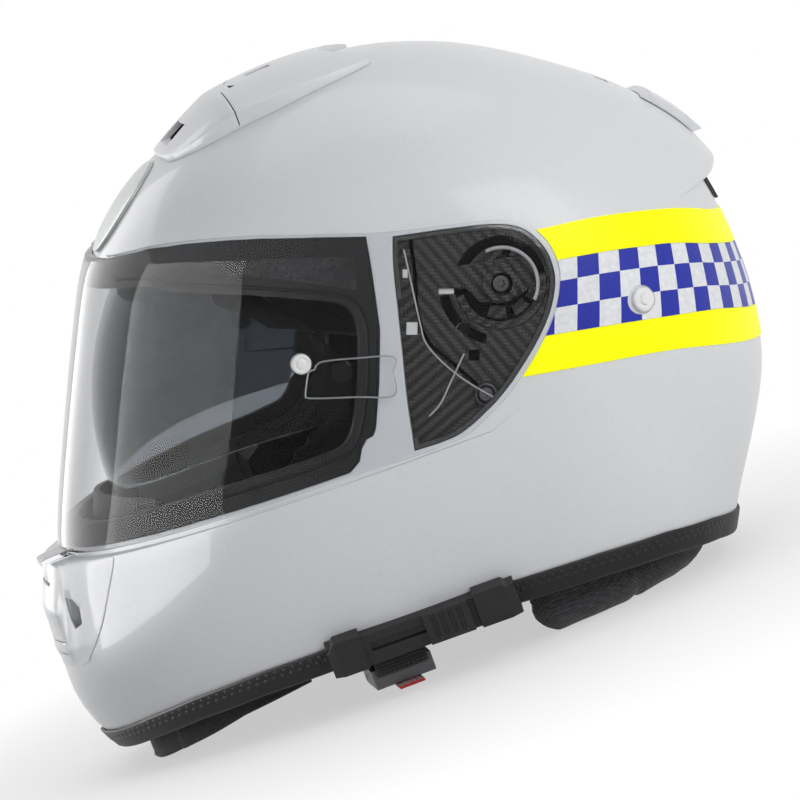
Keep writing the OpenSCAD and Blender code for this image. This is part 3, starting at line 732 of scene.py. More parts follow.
def gloss_shell():
    """White paint under a thin clear coat."""
    f = Finish("pearl_white_paint", Coat_Weight=0.25, Coat_Roughness=0.05, Coat_IOR=1.5,
               Specular_IOR_Level=0.28)
    speck = f.use(SPECKLE, Scale=3200.0, Contrast=0.5)
    f.colours(speck["Value"], (0.63, 0.645, 0.67), (0.69, 0.70, 0.72))
    f.relief(f.handled(0.34, 0.42), 0.00004)
    return f


def moulded(name, dark, light, clean, dull, grain=900.0, depth=0.00006, **plain):
    """Moulded plastic or rubber with a fine eroded grain."""
    f = Finish(name, **plain)
    speck = f.use(SPECKLE, Scale=grain, Contrast=0.45)
    f.colours(speck["Value"], dark, light)
    f.handled(clean, dull)
    f.relief(speck["Value"], depth)
    return f


def dimpled_rubber():
    """Edge rubber: two rows of small round bumps, laid along the piece."""
    pitch = 0.0042
    f = Finish("edge_rubber", Specular_IOR_Level=0.25)
    u, v = f.uv()
    t = f.tree
    dots = []
    for row, shift in ((0.0036, 0.0), (0.0062, 0.5)):
        du = sums(t, "SUBTRACT", sums(t, "FRACT", sums(t, "ADD", sums(t, "DIVIDE", u, pitch), shift)), 0.5)
        du = sums(t, "MULTIPLY", du, pitch)
        dv = sums(t, "SUBTRACT", v, row)
        reach = sums(t, "SQRT", sums(t, "ADD", sums(t, "MULTIPLY", du, du), sums(t, "MULTIPLY", dv, dv)))
        dots.append(ranged(t, reach, 0.0007, 0.0011, 1.0, 0.0))
    bumps = sums(t, "MAXIMUM", *dots)
    speck = f.use(SPECKLE, Scale=1500.0, Contrast=0.5)
    f.relief(sums(t, "ADD", bumps, sums(t, "MULTIPLY", speck["Value"], 0.06)), 0.0006)
    # painted highlight: the bumps are coloured lighter than the rubber round them
    f.colours(bumps, (0.012, 0.012, 0.013), (0.024, 0.024, 0.026))
    f.handled(0.42, 0.6)
    return f


def woven_plate(name, slant, cell=0.0015, light=(0.055, 0.052, 0.049)):
    """Clear-coated plate with a carbon twill look; its colour takes the twill's painted sheen."""
    f = Finish(name, Coat_Weight=0.06, Coat_Roughness=0.15, Specular_IOR_Level=0.14)
    turned = turned_or_stretched(f.tree, f.where, "Rotation", (0, math.radians(65.6), 0))
    weave = f.use(TWILL, Vector=turned, Cell=cell, Slant=slant)
    f.colours(weave["Shade"], (0.002, 0.002, 0.0025), light)
    f.feed("Roughness", ranged(f.tree, weave["Shade"], 0, 1, 0.5, 0.33))
    f.relief(weave["Height"], 0.00022)
    return f


def see_through(name, tint, edge, shadow, ior):
    """Clear or smoked polycarbonate that still lets the light through, its colour darkened by a painted shade
    where the pane turns away from the view.
    """
    f = Finish(name, Base_Color=(*tint, 1), Transmission_Weight=1.0, IOR=ior, Roughness=0.0)
    t = f.tree
    f.handled(0.0, 0.006)
    turned = t.nodes.new("ShaderNodeLayerWeight")
    turned.inputs["Blend"].default_value = 0.5
    # painted shade: the colour goes from the tint to a darker one as the pane is seen more and more at a
    # slant
    f.colours(ranged(t, turned.outputs["Facing"], 0.3, 0.75), tint, edge)
    clear = t.nodes.new("ShaderNodeBsdfTransparent")
    clear.inputs[0].default_value = (*shadow, 1)
    path, mix = t.nodes.new("ShaderNodeLightPath").outputs, t.nodes.new("ShaderNodeMixShader")
    wire(t, sums(t, "MAXIMUM", path["Is Shadow Ray"], path["Is Diffuse Ray"]), mix.inputs[0])
    wire(t, f.shader.outputs[0], mix.inputs[1])
    wire(t, clear.outputs[0], mix.inputs[2])
    wire(t, mix.outputs[0], t.nodes["Material Output"].inputs[0])
    return f


def fabric(name, dark, light, threads=1400.0, depth=0.0003):
    """Soft cloth with a low sheen."""
    f = Finish(name, Sheen_Weight=0.3, Sheen_Roughness=0.5, Specular_IOR_Level=0.2)
    cloth = f.use(CLOTH, Threads=threads)
    f.colours(cloth["Shade"], dark, light)
    f.feed("Roughness", ranged(f.tree, cloth["Height"], 0, 1, 0.9, 0.75))
    f.relief(cloth["Height"], depth)
    return f


def foam():
    """Moulded bead foam: round beads pressed flat against each other."""
    f = Finish("bead_foam", Specular_IOR_Level=0.08)
    cells = f.tree.nodes.new("ShaderNodeTexVoronoi")
    cells.feature = "DISTANCE_TO_EDGE"
    cells.inputs["Scale"].default_value = 300.0
    wire(f.tree, f.where, cells.inputs["Vector"])
    rim = ranged(f.tree, cells.outputs["Distance"], 0.0, 0.12)
    f.colours(rim, (0.004, 0.004, 0.0045), (0.013, 0.013, 0.014))
    f.feed("Roughness", ranged(f.tree, rim, 0, 1, 0.85, 0.6))
    f.relief(rim, 0.0003)
    return f


def brushed(name, colour, rough=(0.25, 0.45)):
    """Metal with fine streaks along X."""
    f = Finish(name, Metallic=1.0, Anisotropic=0.3)
    lines = noise(f.tree, turned_or_stretched(f.tree, f.where, "Scale", (1, 14, 14)), 160.0, 3)
    f.colours(lines, tuple(c * 0.8 for c in colour), colour)
    f.feed("Roughness", ranged(f.tree, lines, 0.3, 0.7, *rough))
    f.relief(lines, 0.00002)
    return f


def glowing_yellow():
    """Fluorescent yellow film with a painted glow: a steady emission, the same under any light, stands in for
    its fluorescence.
    """
    # painted glow: the emission lets the film shine with no lamp on it
    f = Finish("fluorescent_film", Coat_Weight=0.08, Coat_Roughness=0.2, Specular_IOR_Level=0.14,
               Emission_Color=(0.9, 0.95, 0.0, 1), Emission_Strength=0.16)
    speck = f.use(SPECKLE, Scale=2600.0, Contrast=0.6)
    f.colours(speck["Value"], (0.93, 0.93, 0.0), (1.0, 1.0, 0.0))
    f.handled(0.4, 0.5)
    f.relief(speck["Value"], 0.00003)
    return f


def check_film():
    """Blue and silver retroreflective film: three rows of checks laid along the band."""
    f = Finish("check_film", Coat_Weight=0.1, Coat_Roughness=0.15, Specular_IOR_Level=0.22)
    u, v = f.uv()
    t = f.tree
    odd = sums(t, "FLOORED_MODULO", sums(t, "ADD", sums(t, "FLOOR", u), sums(t, "FLOOR", v)), 2.0)
    grain = f.use(SPECKLE, Scale=3600.0, Contrast=0.4)["Value"]
    silver = blend(t, grain, (0.60, 0.62, 0.65), (0.88, 0.89, 0.91))
    blue = blend(t, grain, (0.012, 0.022, 0.30), (0.022, 0.034, 0.40))
    f.colours(odd, silver, blue)
    f.handled(0.35, 0.45)
    f.relief(grain, 0.00004)
    return f


def webbing_cloth(name, dark, light):
    """Woven strap: fine ribs across the strap, coloured by their height: a painted highlight on the rib
    crests, brightest where they cross the rows, and painted shade in the dips.
    """
    rib, row = 0.0016, 0.0022
    f = Finish(name, Sheen_Weight=0.4, Sheen_Roughness=0.4, Specular_IOR_Level=0.25)
    u, v = f.uv()
    t = f.tree
    ribs = sums(t, "SINE", sums(t, "MULTIPLY", u, 2 * math.pi / rib))
    rows = sums(t, "SINE", sums(t, "MULTIPLY", v, 2 * math.pi / row))
    height = sums(t, "ADD", sums(t, "MULTIPLY", ribs, 0.35),
                  sums(t, "MULTIPLY", sums(t, "MULTIPLY", ribs, rows), 0.25))
    height = sums(t, "ADD", height, 0.5)
    # painted highlight and shade from the ribs' height
    f.colours(height, dark, light)
    f.feed("Roughness", ranged(t, height, 0, 1, 0.9, 0.7))
    f.relief(height, 0.0003)
    return f


WHITE = gloss_shell()
RUBBER = moulded("soft_rubber", (0.005, 0.005, 0.0055), (0.011, 0.011, 0.012), 0.42, 0.6, 700.0, 0.0001,
                 Specular_IOR_Level=0.16)
TRIM = dimpled_rubber()
BLACK = moulded("black_plastic", (0.010, 0.010, 0.011), (0.019, 0.019, 0.020), 0.34, 0.46,
                Specular_IOR_Level=0.3)
GLOSS = moulded("polished_black", (0.006, 0.006, 0.007), (0.011, 0.011, 0.012), 0.12, 0.2, 500.0, 0.00001,
                Coat_Weight=0.5, Coat_Roughness=0.08)
GRAIN = moulded("speckled_brow_cloth", (0.002, 0.002, 0.002), (0.05, 0.05, 0.052), 0.7, 0.85, 620.0, 0.0004,
                Specular_IOR_Level=0.2)
# painted shade: the recess floor is near black, darker than the black plastics, to stand for the shade deep
# in the recess
RECESS_SHADE = moulded("recess_shade_black", (0.001, 0.001, 0.001), (0.003, 0.003, 0.003), 0.6, 0.8, 600.0, 0.00003,
               Specular_IOR_Level=0.04)
SMOOTH = moulded("satin_black", (0.008, 0.008, 0.009), (0.015, 0.015, 0.016), 0.24, 0.34, 600.0, 0.00003)
WEAVE_UP = woven_plate("carbon_twill_up", 1.0)
WEAVE_DOWN = woven_plate("carbon_twill_down", -1.0)
# each pane's second colour is its painted shade towards a slanting view
CLEAR = see_through("clear_polycarbonate", (0.93, 0.936, 0.945), (0.27, 0.275, 0.29), (0.93, 0.94, 0.95),
                    1.15)
SMOKE = see_through("smoked_polycarbonate", (0.15, 0.165, 0.185), (0.08, 0.09, 0.1), (0.2, 0.22, 0.24), 1.17)
FROST = moulded("frosted_moulding_line", (0.24, 0.25, 0.27), (0.36, 0.37, 0.39), 0.35, 0.5)
MILKY = moulded("natural_white_plastic", (0.72, 0.72, 0.72), (0.82, 0.82, 0.82), 0.3, 0.4, 500.0, 0.00003)
STEEL = brushed("brushed_steel", (0.62, 0.62, 0.63))
DARK_STEEL = brushed("blackened_steel", (0.09, 0.09, 0.095), (0.3, 0.5))
YELLOW = glowing_yellow()
CHECKS = check_film()
LINING = fabric("lining_cloth", (0.012, 0.012, 0.014), (0.05, 0.05, 0.055))
SOFT_GREY = fabric("brushed_neck_cloth", (0.03, 0.031, 0.034), (0.085, 0.087, 0.092), 1000.0)
CURTAIN = fabric("stretch_curtain_cloth", (0.008, 0.008, 0.009), (0.028, 0.028, 0.03), 1800.0, 0.00015)
BADGE = moulded("grey_green_film", (0.40, 0.44, 0.43), (0.47, 0.51, 0.50), 0.28, 0.36, 2200.0, 0.00003,
                Coat_Weight=0.4, Coat_Roughness=0.1)
STRAP = webbing_cloth("black_webbing", (0.008, 0.008, 0.009), (0.04, 0.04, 0.043))
RED = webbing_cloth("red_webbing", (0.25, 0.01, 0.008), (0.62, 0.03, 0.025))
FOAM = foam()


# Shell, trim and seal
def shell_form(d, ledge, tail=1.0, rings=96):
    """Body of the shell at distance d: chin bar under the ledge, plain above it, spoiler with its lip."""
    a = -90 + 180.0 * np.arange(rings + 1) / rings
    flat = np.ones(rings + 1)
    lip = [(0.7, 0.0), (1.25, 0.2), (1.55, 5.6), (1.85, 7.0), (2.6, 8.5), (3.3, 9.55), (3.9, 9.98),
           (4.8, 9.8)]
    rows = [(flat * t, d, 0, h) for t, h in lip]
    rows += [(flat * t, d, 0, float(spoiler(t))) for t in np.linspace(6, 150, 97)]
    inner = crossing(a, ledge, d, 0)
    here = np.clip((259 - inner) / 8, 0, 1)
    rows += [(150 + (inner - 150) * k / 34, d, 0, 0) for k in range(1, 35)]
    for out, drop, gap in ((-0.9, 0.0, 0.1), (-0.25, 0.25, 0.2), (0.0, 0.9, 0.3)):
        turn = crossing(a, ledge - drop * here, d + out * here, 1)
        rows.append((turn + gap * (1 - here), d + out * here, 1, 0))
    start = rows[-1][0]
    rows += [(start + (300 - start) * k / 60, d, 1, 0) for k in range(1, 61)]
    rows += [(flat * t, d, 0, 0) for t in np.linspace(301.5, 359.8, 38)]
    turns, outs = (np.array([r[k] * flat for r in rows]) for k in (0, 1))
    lows, tails = (np.array([r[k] for r in rows], float) for k in (2, 3))
    return ball_form(len(rows), rings,
                     lambda i, j: surface(turns[i, j], a[j], outs[i, j], lows[i], tails[i] * tail))


SIGHT_LINE = closed(curve(SIGHT, 8))
POD_LINE = closed(curve(POD, 8)[:-1], curve(POD_FRONT, 6)[:-1])
VISOR_LINE = closed(curve(VISOR_LOW, 8))


def below_edge(lift):
    """Cutter for all that lies under the lower edge, raised by lift."""
    line = [(x, edge_height(x) + lift) for x in np.linspace(-200, 180, 90)]
    return prism(closed(line, [(180, -90), (-200, -90)]))


def side_recess():
    """Cutter for the recess of one side plate, 4.4 mm deep."""
    return trimmed(left_prism(grown(POD_LINE, 0.4)), form(-4.4))


def helmet_shell():
    """White shell with its openings, the side recesses and the holes behind the vents."""
    inner = turned_over(shell_form(-SHELL, LEDGE - SHELL, 0.0, 60))
    shell = joined("helmet_shell", [inner, shell_form(0, LEDGE)])
    recess = side_recess()
    cutters = [below_edge(-7), prism(grown(SIGHT_LINE, 7.0)), recess, mirrored(recess, "recess_2")]
    for s in (-1, 1):
        cutters.append(block((40, 9, 14), (-160, 40 * s, 79)))
        cutters += [block((6, 12, 60), (x, 14 * s, 255)) for x in (-34, -22)]
        cutters.append(block((5, 10, 30), (140, 16 * s, 215)))
    slider_pocket = block((20, 12, 3), (2, 0, 268.4))
    for cutter in (*cutters, slider_pocket):
        trimmed(shell, cutter)
    fitted(smooth(shell, 32), WHITE, "outer_shell")


def lower_line(d, lift, stations):
    """Half of the line where the helmet, at distance d, meets its lower edge, from chin to neck."""
    t = np.concatenate([np.linspace(205, 214, 500), np.linspace(214, 294, 1500), np.linspace(294, 302, 500)])
    r = radius(t) + d + chin(t)
    c = np.linspace(0.2, 1.0, 400)
    x = CX + np.outer(r * np.cos(np.radians(t)), c)
    z = CZ + np.outer(r * np.sin(np.radians(t)), c)
    gap = z - (edge_height(x) + lift)
    sign = (gap[:, :-1] > 0) & (gap[:, 1:] <= 0)
    rows = np.where(sign.any(1))[0]
    k = sign[rows].argmax(1)
    u = gap[rows, k] / (gap[rows, k] - gap[rows, k + 1])
    share = c[k] + u * (c[1] - c[0])
    a = np.arccos(np.clip(share, 0, 1) ** (1 / ROUND))
    p = np.stack([CX + r[rows] * share * np.cos(np.radians(t[rows])),
                  -(HALF_W + d) * np.sin(a) ** ROUND,
                  CZ + r[rows] * share * np.sin(np.radians(t[rows]))], 1)
    p[0, 1] = p[-1, 1] = 0.0
    s = along(p)
    want = np.linspace(0, s[-1], stations)
    return np.stack([np.interp(want, s, p[:, k]) for k in range(3)], 1), want


def ring_sweep(halves, lengths):
    """Closed ring from half lines, one for each point of its section, mirrored to the other side."""
    n, m = len(halves[0]), len(halves)
    major = 2 * (n - 1)
    bpy.ops.mesh.primitive_torus_add(major_segments=major, minor_segments=m, major_radius=1, minor_radius=0.2,
                                     generate_uvs=True)
    obj = bpy.context.object
    left = np.array([[halves[j][k] for j in range(m)] for k in range(n)])
    right = left[-2:0:-1] * np.array([1, -1, 1])
    move_points(obj, np.concatenate([left, right]))
    editing(obj)
    bpy.ops.mesh.normals_make_consistent(inside=False)
    done()
    section = np.concatenate([[0], np.cumsum([np.linalg.norm(halves[(j + 1) % m][n // 2] - halves[j][n // 2])
                                              for j in range(m)])])
    lay = obj.data.uv_layers[0]
    lay.name = "lay"
    for poly in obj.data.polygons:
        ids = [obj.data.loops[k].vertex_index for k in poly.loop_indices]
        i, j = [v // m for v in ids], [v % m for v in ids]
        wrap_i, wrap_j = max(i) - min(i) > 1, max(j) - min(j) > 1
        for k, a, b in zip(poly.loop_indices, i, j):
            a = major if wrap_i and a == 0 else a
            b = m if wrap_j and b == 0 else b
            run = lengths[a] if a < n else 2 * lengths[-1] - lengths[major - a]
            lay.data[k].uv = (run * MM, section[b] * MM)
    return obj


def edge_trim():
    """Rubber extrusion that clasps the lower edge, with its two rows of bumps outside."""
    section = [(0.25, 0.15), (1.0, 0.2), (1.5, -0.35), (1.75, -1.2), (1.8, -3.0), (1.8, -5.5), (1.8, -8.2),
               (1.75, -9.8), (1.3, -10.7), (0.2, -11.0), (-3.0, -11.0), (-6.2, -10.9), (-6.9, -10.2),
               (-7.0, -6.0), (-6.9, -0.8), (-6.4, -0.1), (-5.5, -0.2), (-5.4, -4.0), (-5.3, -7.2),
               (-2.5, -7.3), (0.2, -7.2), (0.25, -3.0)]
    lines = [lower_line(d, lift, 171) for d, lift in section]
    trim = named(ring_sweep([line for line, _ in lines], lines[0][1]), "edge_trim")
    fitted(smooth(trim, 45), TRIM, "bottom_trim")


FLANGE = [(-200, 211.5), (-104, 219.4), (-95, 221.0), (-79, 222.0), (-64, 220.4), (-49, 217.4), (-35, 213.8),
          (-11, 206.4), (8, 200.2), (5.6, 188), (-0.5, 160.3), (-9, 138), (-17.0, 120.0), (-19.2, 117.2),
          (-24.4, 116.4), (-26.6, 112), (-28.5, 108.5), (-34, 105.2), (-86, 105.1), (-153, 104.9),
          (-200, 107.5)]
BROW = [(0, 194), (-22, 200.8), (-46, 208.2), (-74, 214.4), (-80, 213.4), (-62, 207), (-48, 201.4),
        (-30, 193.4), (-10, 183.2), (-4, 180)]


def brow_cloth():
    """Speckled cloth strip set in the seal over the eye opening, one side and the other."""
    fit_both(plate(BROW, 0.2, 0.65, 0.15, name="brow_cloth"), GRAIN, "helmet")


def eye_seal():
    """Rubber seal round the eye opening, with its flange and two beads."""
    seal = trimmed(form(0.3), prism(grown(SIGHT_LINE, 6.6)), "INTERSECT")
    trimmed(seal, form(-7.5))
    trimmed(seal, prism(SIGHT_LINE))
    rounded(seal, 0.8, 2, 40)
    flange = trimmed(form(0.5), prism(FLANGE), "INTERSECT")
    trimmed(flange, form(0.08))
    trimmed(flange, prism(grown(SIGHT_LINE, 5.0)))
    lip = [q for q in grown(SIGHT_LINE, 3.4) if q[0] > -96]
    outer = [q for q in grown(FLANGE, -1.6) if -60 < q[0] and q[1] < 198]
    beads = [tube(on_side(lip, 0.3), 0.85, 12, "seal_lip"), tube(on_side(outer, 0.35), 0.55, 12, "outer_lip")]
    seal = joined("eye_seal", [mirrored(bead, "lip") for bead in beads] + beads + [flange, seal])
    fitted(smooth(seal, 40), RUBBER, "eyeport_seal")


# Visors
def clear_visor():
    """Clear pane with its ears, its inside hollowed a little over the side plates."""
    def inside(t, a):
        p = surface(t, a, VISOR_IN)
        r = np.hypot(p[:, 0] - CX, p[:, 2] - CZ)
        share = np.clip((r - 17) / 6, 0, 1) * np.clip((44 - r) / 9, 0, 1)
        return surface(t, a, VISOR_IN + VISOR_RELIEF * share)

    pane = trimmed(form(VISOR_OUT), prism(VISOR_LINE), "INTERSECT")
    trimmed(pane, even_form(360, 180, inside))
    holes = []
    for place, r in (((CX, CZ), 8.35), (INSERT_PIN, 4.8)):
        holes.append(rod(r, place, 48))
        holes.append(mirrored(holes[-1], "hole"))
    trimmed(pane, joined("visor_holes", holes))
    rounded(pane, 0.5, 2, 45)
    fitted(named(smooth(pane, 35), "clear_visor"), CLEAR, "visor", "visor")


def lift_tab():
    """Tab under the visor's left front edge for a gloved finger."""
    middle = -15
    tab = block((16, 30, 2.6), (-162, middle, 103.5))
    editing(tab)
    bpy.ops.mesh.subdivide(number_cuts=6)
    done()
    co = points_of(tab)
    front = np.clip((-160 - co[:, 0]) / 10, 0, 1)
    co[:, 1] = middle + (co[:, 1] - middle) * (1 - 0.25 * front)
    co[:, 2] -= 1.0 * front ** 2
    move_points(tab, co)
    trimmed(tab, form(1.2))
    rounded(tab, 0.7, 3, 50)
    fitted(named(smooth(tab, 40), "visor_lift_tab"), CLEAR, None, "visor")


def visor_marks():
    """Raised lines moulded into the pane: the tear-off frame at the rear and the ribs of the ear."""
    frame_line = [(-33, 153.5), (-32, 155), (-28, 155.5), (-15, 152.3), (0.5, 147.4), (-2, 141), (-5, 131.3),
                  (-20, 136), (-36, 141), (-40.5, 142.8), (-40.8, 144.5), (-37, 152), (-35.5, 153.4),
                  (-33, 153.5)]
    ear_front = [(21, 190), (19, 176), (16.4, 156.9), (15.9, 148), (20, 137.4), (27, 126), (35.5, 115.6)]
    ear_middle = [(6.4, 117.3), (13, 121), (20, 128), (30, 138)]
    ridges = [tube(on_side(line, VISOR_OUT - sunk), r, 8, name) for name, line, r, sunk in (
        ("visor_frame_line", closed(curve(frame_line, 4)), 0.35, 0.1),
        ("visor_ear_line_front", closed(curve(ear_front, 6)), 0.35, 0.1),
        ("visor_ear_line_mid", closed(curve(ear_middle, 6)), 0.35, 0.1),
        ("visor_ear_rim", arc(16.0, -46, 96, 40), 0.8, 0.3))]
    lines = joined("visor_moulded_lines", ridges)
    FROST.paint(lines)
    for o in (lines, mirrored(lines, "visor_moulded_lines_right")):
        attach(o, "visor")


def insert_pins():
    """White pins of the anti-fog insert: a flanged button with a raised centre."""
    y0, y1 = (float(skin_y(*INSERT_PIN, d)) for d in (VISOR_IN, VISOR_OUT))
    pin = turned_part([(0, y0 - 0.4), (4.4, y0 - 0.4), (4.5, y0), (4.5, y1 + 0.6), (4.2, y1 + 1.3),
                       (3.4, y1 + 1.5),
                       (3.0, y1 + 1.1), (2.2, y1 + 1.1), (1.9, y1 + 1.6), (1.2, y1 + 1.8), (0, y1 + 1.8)],
                      INSERT_PIN, 40, "insert_pin_left")
    for o, node in ((pin, "visor_pins"), (mirrored(pin, "insert_pin_right"), None)):
        fitted(o, MILKY, node, "visor")


def sun_visor():
    """Smoked lens, curved both ways and cut lower in the middle, with a wall of 2.2 mm."""
    full, half_wide = 2 / 2.6, 101.0
    reach = float(np.hypot(radius(180) - CX + SUN_X - 10, CZ - SUN_Z))
    bpy.ops.mesh.primitive_grid_add(x_subdivisions=96, y_subdivisions=44, size=2)
    lens = bpy.context.object
    co = points_of(lens) * MM
    a = np.radians(90 * co[:, 0])
    up = (co[:, 1] + 1) / 2
    side = np.abs(np.sin(a))
    low = 180.2 - 6.5 * side ** 3
    turn = low + (124.5 - 10.5 * side ** 4 - low) * up
    r = reach * np.clip(np.cos(a), 0, 1) ** full
    y = half_wide * np.sign(a) * side ** full
    x, z = SUN_X + r * np.cos(np.radians(turn)), SUN_Z + r * np.sin(np.radians(turn))
    move_points(lens, np.stack([x, y, z], 1))
    editing(lens)
    bpy.ops.mesh.remove_doubles(threshold=1e-5)
    done()
    applied(lens, "SOLIDIFY", thickness=2.2 * MM, offset=0.0, use_even_offset=True)
    face_out(lens)
    rounded(lens, 0.6, 2, 45)
    fitted(named(smooth(lens, 40), "sun_visor_lens"), SMOKE, "sun_visor", "sun_visor")


# Reflective bands
BAND_SLOPE = math.radians(20.6)
BAND_CENTRE = 10.0
CHECK_TOP = [(40, 169.5), (80.1, 162.4), (94.8, 159.5), (105, 157.2), (122.7, 152.3), (138.7, 146.6),
             (168.1, 132.2), (190, 121.2)]
CHECK_LOW = [(40, 138), (66.3, 132.6), (79.9, 129.6), (98.6, 125.5), (125.2, 118.5), (146.6, 111.9),
             (165, 103), (190, 91)]


def in_band_plane(x, z):
    """Distance towards the rear in the band's own sloping plane."""
    return x * math.cos(BAND_SLOPE) - z * math.sin(BAND_SLOPE)


def band_arc():
    """Turn about the band's centre, and distance from the rear along the check film, as a table."""
    line = np.array(curve(BANDS[1], 8))[:, :2]
    x = np.linspace(60, 186, 600)
    z = np.interp(x, line[:, 0], line[:, 1]) - 8
    share = np.hypot(x - CX, z - CZ) / radius(np.degrees(np.arctan2(z - CZ, x - CX)))
    x, z = x[share < 1], z[share < 1]
    y = skin_y(x, z, 0.5)
    x, z, y = np.append(x, x[-1] + 0.3), np.append(z, z[-1]), np.append(y, 0)
    across = in_band_plane(x, z)
    phi = np.arctan2(y, across - BAND_CENTRE)
    step = np.hypot(np.diff(across), np.diff(y))
    arc_length = np.concatenate([np.cumsum(step[::-1])[::-1], [0]])
    order = np.argsort(phi)
    return phi[order], arc_length[order]


def lay_checks(obj, pitch=10.3, start=5.15):
    """Lays the three rows of checks: u counts columns from the rear, v counts rows from the top."""
    co = points_of(obj)
    phi = np.arctan2(np.abs(co[:, 1]), in_band_plane(co[:, 0], co[:, 2]) - BAND_CENTRE)
    u = (np.interp(phi, *band_arc()) - start) / pitch
    top = np.interp(co[:, 0], *zip(*CHECK_TOP))
    low = np.interp(co[:, 0], *zip(*CHECK_LOW))
    f = (top - co[:, 2]) / (top - low)
    v = np.interp(f, [-0.1, 0.0, 0.29, 0.645, 1.0, 1.1], [-0.02, 0.001, 1, 2, 2.999, 3.02])
    set_lay(obj, obj.data.uv_layers.new(name="lay"), u, np.clip(v, 0.001, 2.999))


def reflective_bands():
    """Yellow film, check film and yellow film again, cut from one thin layer on the shell."""
    outline = closed(curve(BANDS[0], 5), curve(BANDS[3], 5)[::-1])
    body = trimmed(form(0.55, rows=300, rings=120), prism(outline), "INTERSECT")
    trimmed(body, form(0.12, rows=300, rings=120))
    trimmed(body, prism(grown(POD_LINE, 1.6)))
    trimmed(body, prism(grown(VISOR_LINE, 0.8)))
    hole = rod(STUD_HOLE_R, STUD_HOLE)
    trimmed(body, joined("stud_holes", [hole, mirrored(hole, "stud_hole")]))
    for name, k, finish, slot, node in (("upper_yellow_band", 0, YELLOW, "yellow_film", "upper_yellow_tape"),
                                        ("check_band_film", 1, CHECKS, "check_film", "check_band"),
                                        ("lower_yellow_band", 2, YELLOW, "yellow_film", "lower_yellow_tape")):
        tape = copy_of(body, name)
        lines = []
        for row, lift in ((k, 3 if k == 0 else -0.1), (k + 1, -3 if k == 2 else 0.1)):
            line = [(x, z + lift) for x, z in curve(BANDS[row], 5)]
            lines.append([(line[0][0] - 40, line[0][1] + 12)] + line)
        trimmed(tape, prism(closed(lines[0], lines[1][::-1])), "INTERSECT")
        smooth(tape, 40)
        if k == 1:
            lay_checks(tape)
        fitted(tape, finish, node)
    bpy.data.objects.remove(body)


def snap_studs():
    """White studs on the band, turned square to the shell."""
    x, z = SNAP_STUD
    near = ((x, z), (x + 0.2, z), (x, z + 0.2))
    p, px, pz = (Vector(q) for q in on_side(near, 0))
    normal = (px - p).cross(pz - p).normalized()
    if normal.y > 0:
        normal.negate()
    section = [(0, -0.6), (5.5, -0.6), (5.5, 1.5), (5.2, 2.2), (4.6, 2.6), (3.2, 2.7), (2.7, 2.5), (2.5, 2.7),
               (2.2, 3.5), (1.6, 3.8), (0, 3.8)]
    stud = turned_part(section, (0, 0), 40, "snap_stud_left")
    turn = Vector((0, -1, 0)).rotation_difference(normal).to_matrix()
    move_points(stud, points_of(stud) @ np.array(turn).T + np.array(p))
    for o, node in ((stud, "snap_studs"), (mirrored(stud, "snap_stud_right"), None)):
        fitted(o, MILKY, node)


def forehead_badge():
    """Bare round disc on the forehead."""
    turn = math.radians(90 + 60.5)
    middle = Vector((CX + 130 * math.cos(turn), 0, CZ + 130 * math.sin(turn)))
    bpy.ops.mesh.primitive_cylinder_add(vertices=72, radius=22 * MM, depth=120 * MM, location=middle * MM,
                                        rotation=(0, math.radians(90) - turn, 0))
    badge = trimmed(form(1.6), settle(bpy.context.object, "badge_cutter"), "INTERSECT")
    trimmed(badge, form(0.25))
    rounded(badge, 0.5, 3, 45)
    fitted(named(smooth(badge, 40), "forehead_badge_disc"), BADGE, "forehead_badge")


# Side plates and visor mechanism
RAISED = [(26.6, 192.2), (42.6, 189.0), (54, 186.2), (62.2, 183.9), (68.9, 180.8), (72.6, 177.6),
          (76.2, 171.6),
          (78.4, 163.4), (78, 157.8), (76.4, 152.6), (72.2, 145.4), (67, 138.6), (58.5, 131), (48.4, 123),
          (36.4, 115.2), (28, 130.2), (19.2, 145.4), (17.4, 153.3), (18.8, 164.2), (23.3, 178), (24.6, 184.2)]
KEY = [(23.9, 178.2), (42.7, 174.2), (53, 171.6), (62, 171), (72.5, 166.6), (72.5, 155.4), (66.8, 154.6),
       (62.9, 153.2), (53, 152.6), (44.5, 156.7), (43.4, 159.8), (40.9, 164.4), (36.5, 165.8), (28.8, 168.6),
       (22, 170)]
PLATE_FOOT = -4.15            # depth at which the woven plates stand in the recess
PART_FOOT = -4.1              # and the parts of the mechanism


def ring_piece(r0, r1, start, end, top, name):
    """Part of a ring round the visor axis, from the foot of the mechanism up to a depth."""
    outline = plain_outline(arc(r1, start, end, 40) + arc(r0, end, start, 40))
    return plate(outline, PART_FOOT, top, 0.25, 1.2, name)


def base_plates():
    """Floor of each recess, near black as painted shade, and the woven base plate on it."""
    floor = plate(grown(POD_LINE, -0.5), -4.38, PART_FOOT, 0.0, 3.0, "recess_floor")
    trimmed(floor, rod(6.2, (CX, CZ)))
    fit_both(floor, RECESS_SHADE, "helmet")

    base = plate(grown(POD_LINE, -0.4), PLATE_FOOT, -2.9, 0.3, 2.0, "side_plate_base")
    for line in (grown(RAISED, 1.7), [(11.5, 159.3), (16.3, 157.5), (14.2, 151.8), (9.3, 153.6)],
                 [(17.9, 181.6), (20.2, 180.8), (18.7, 176.8), (16.4, 177.6)]):
        trimmed(base, left_prism(line))
    trimmed(base, rod(5.2, PLATE_SCREW))
    rounded(base, 0.2, 2, 50)
    fit_both(smooth(base, 35), WEAVE_UP, "helmet", "left_base_plate", "right_base_plate")


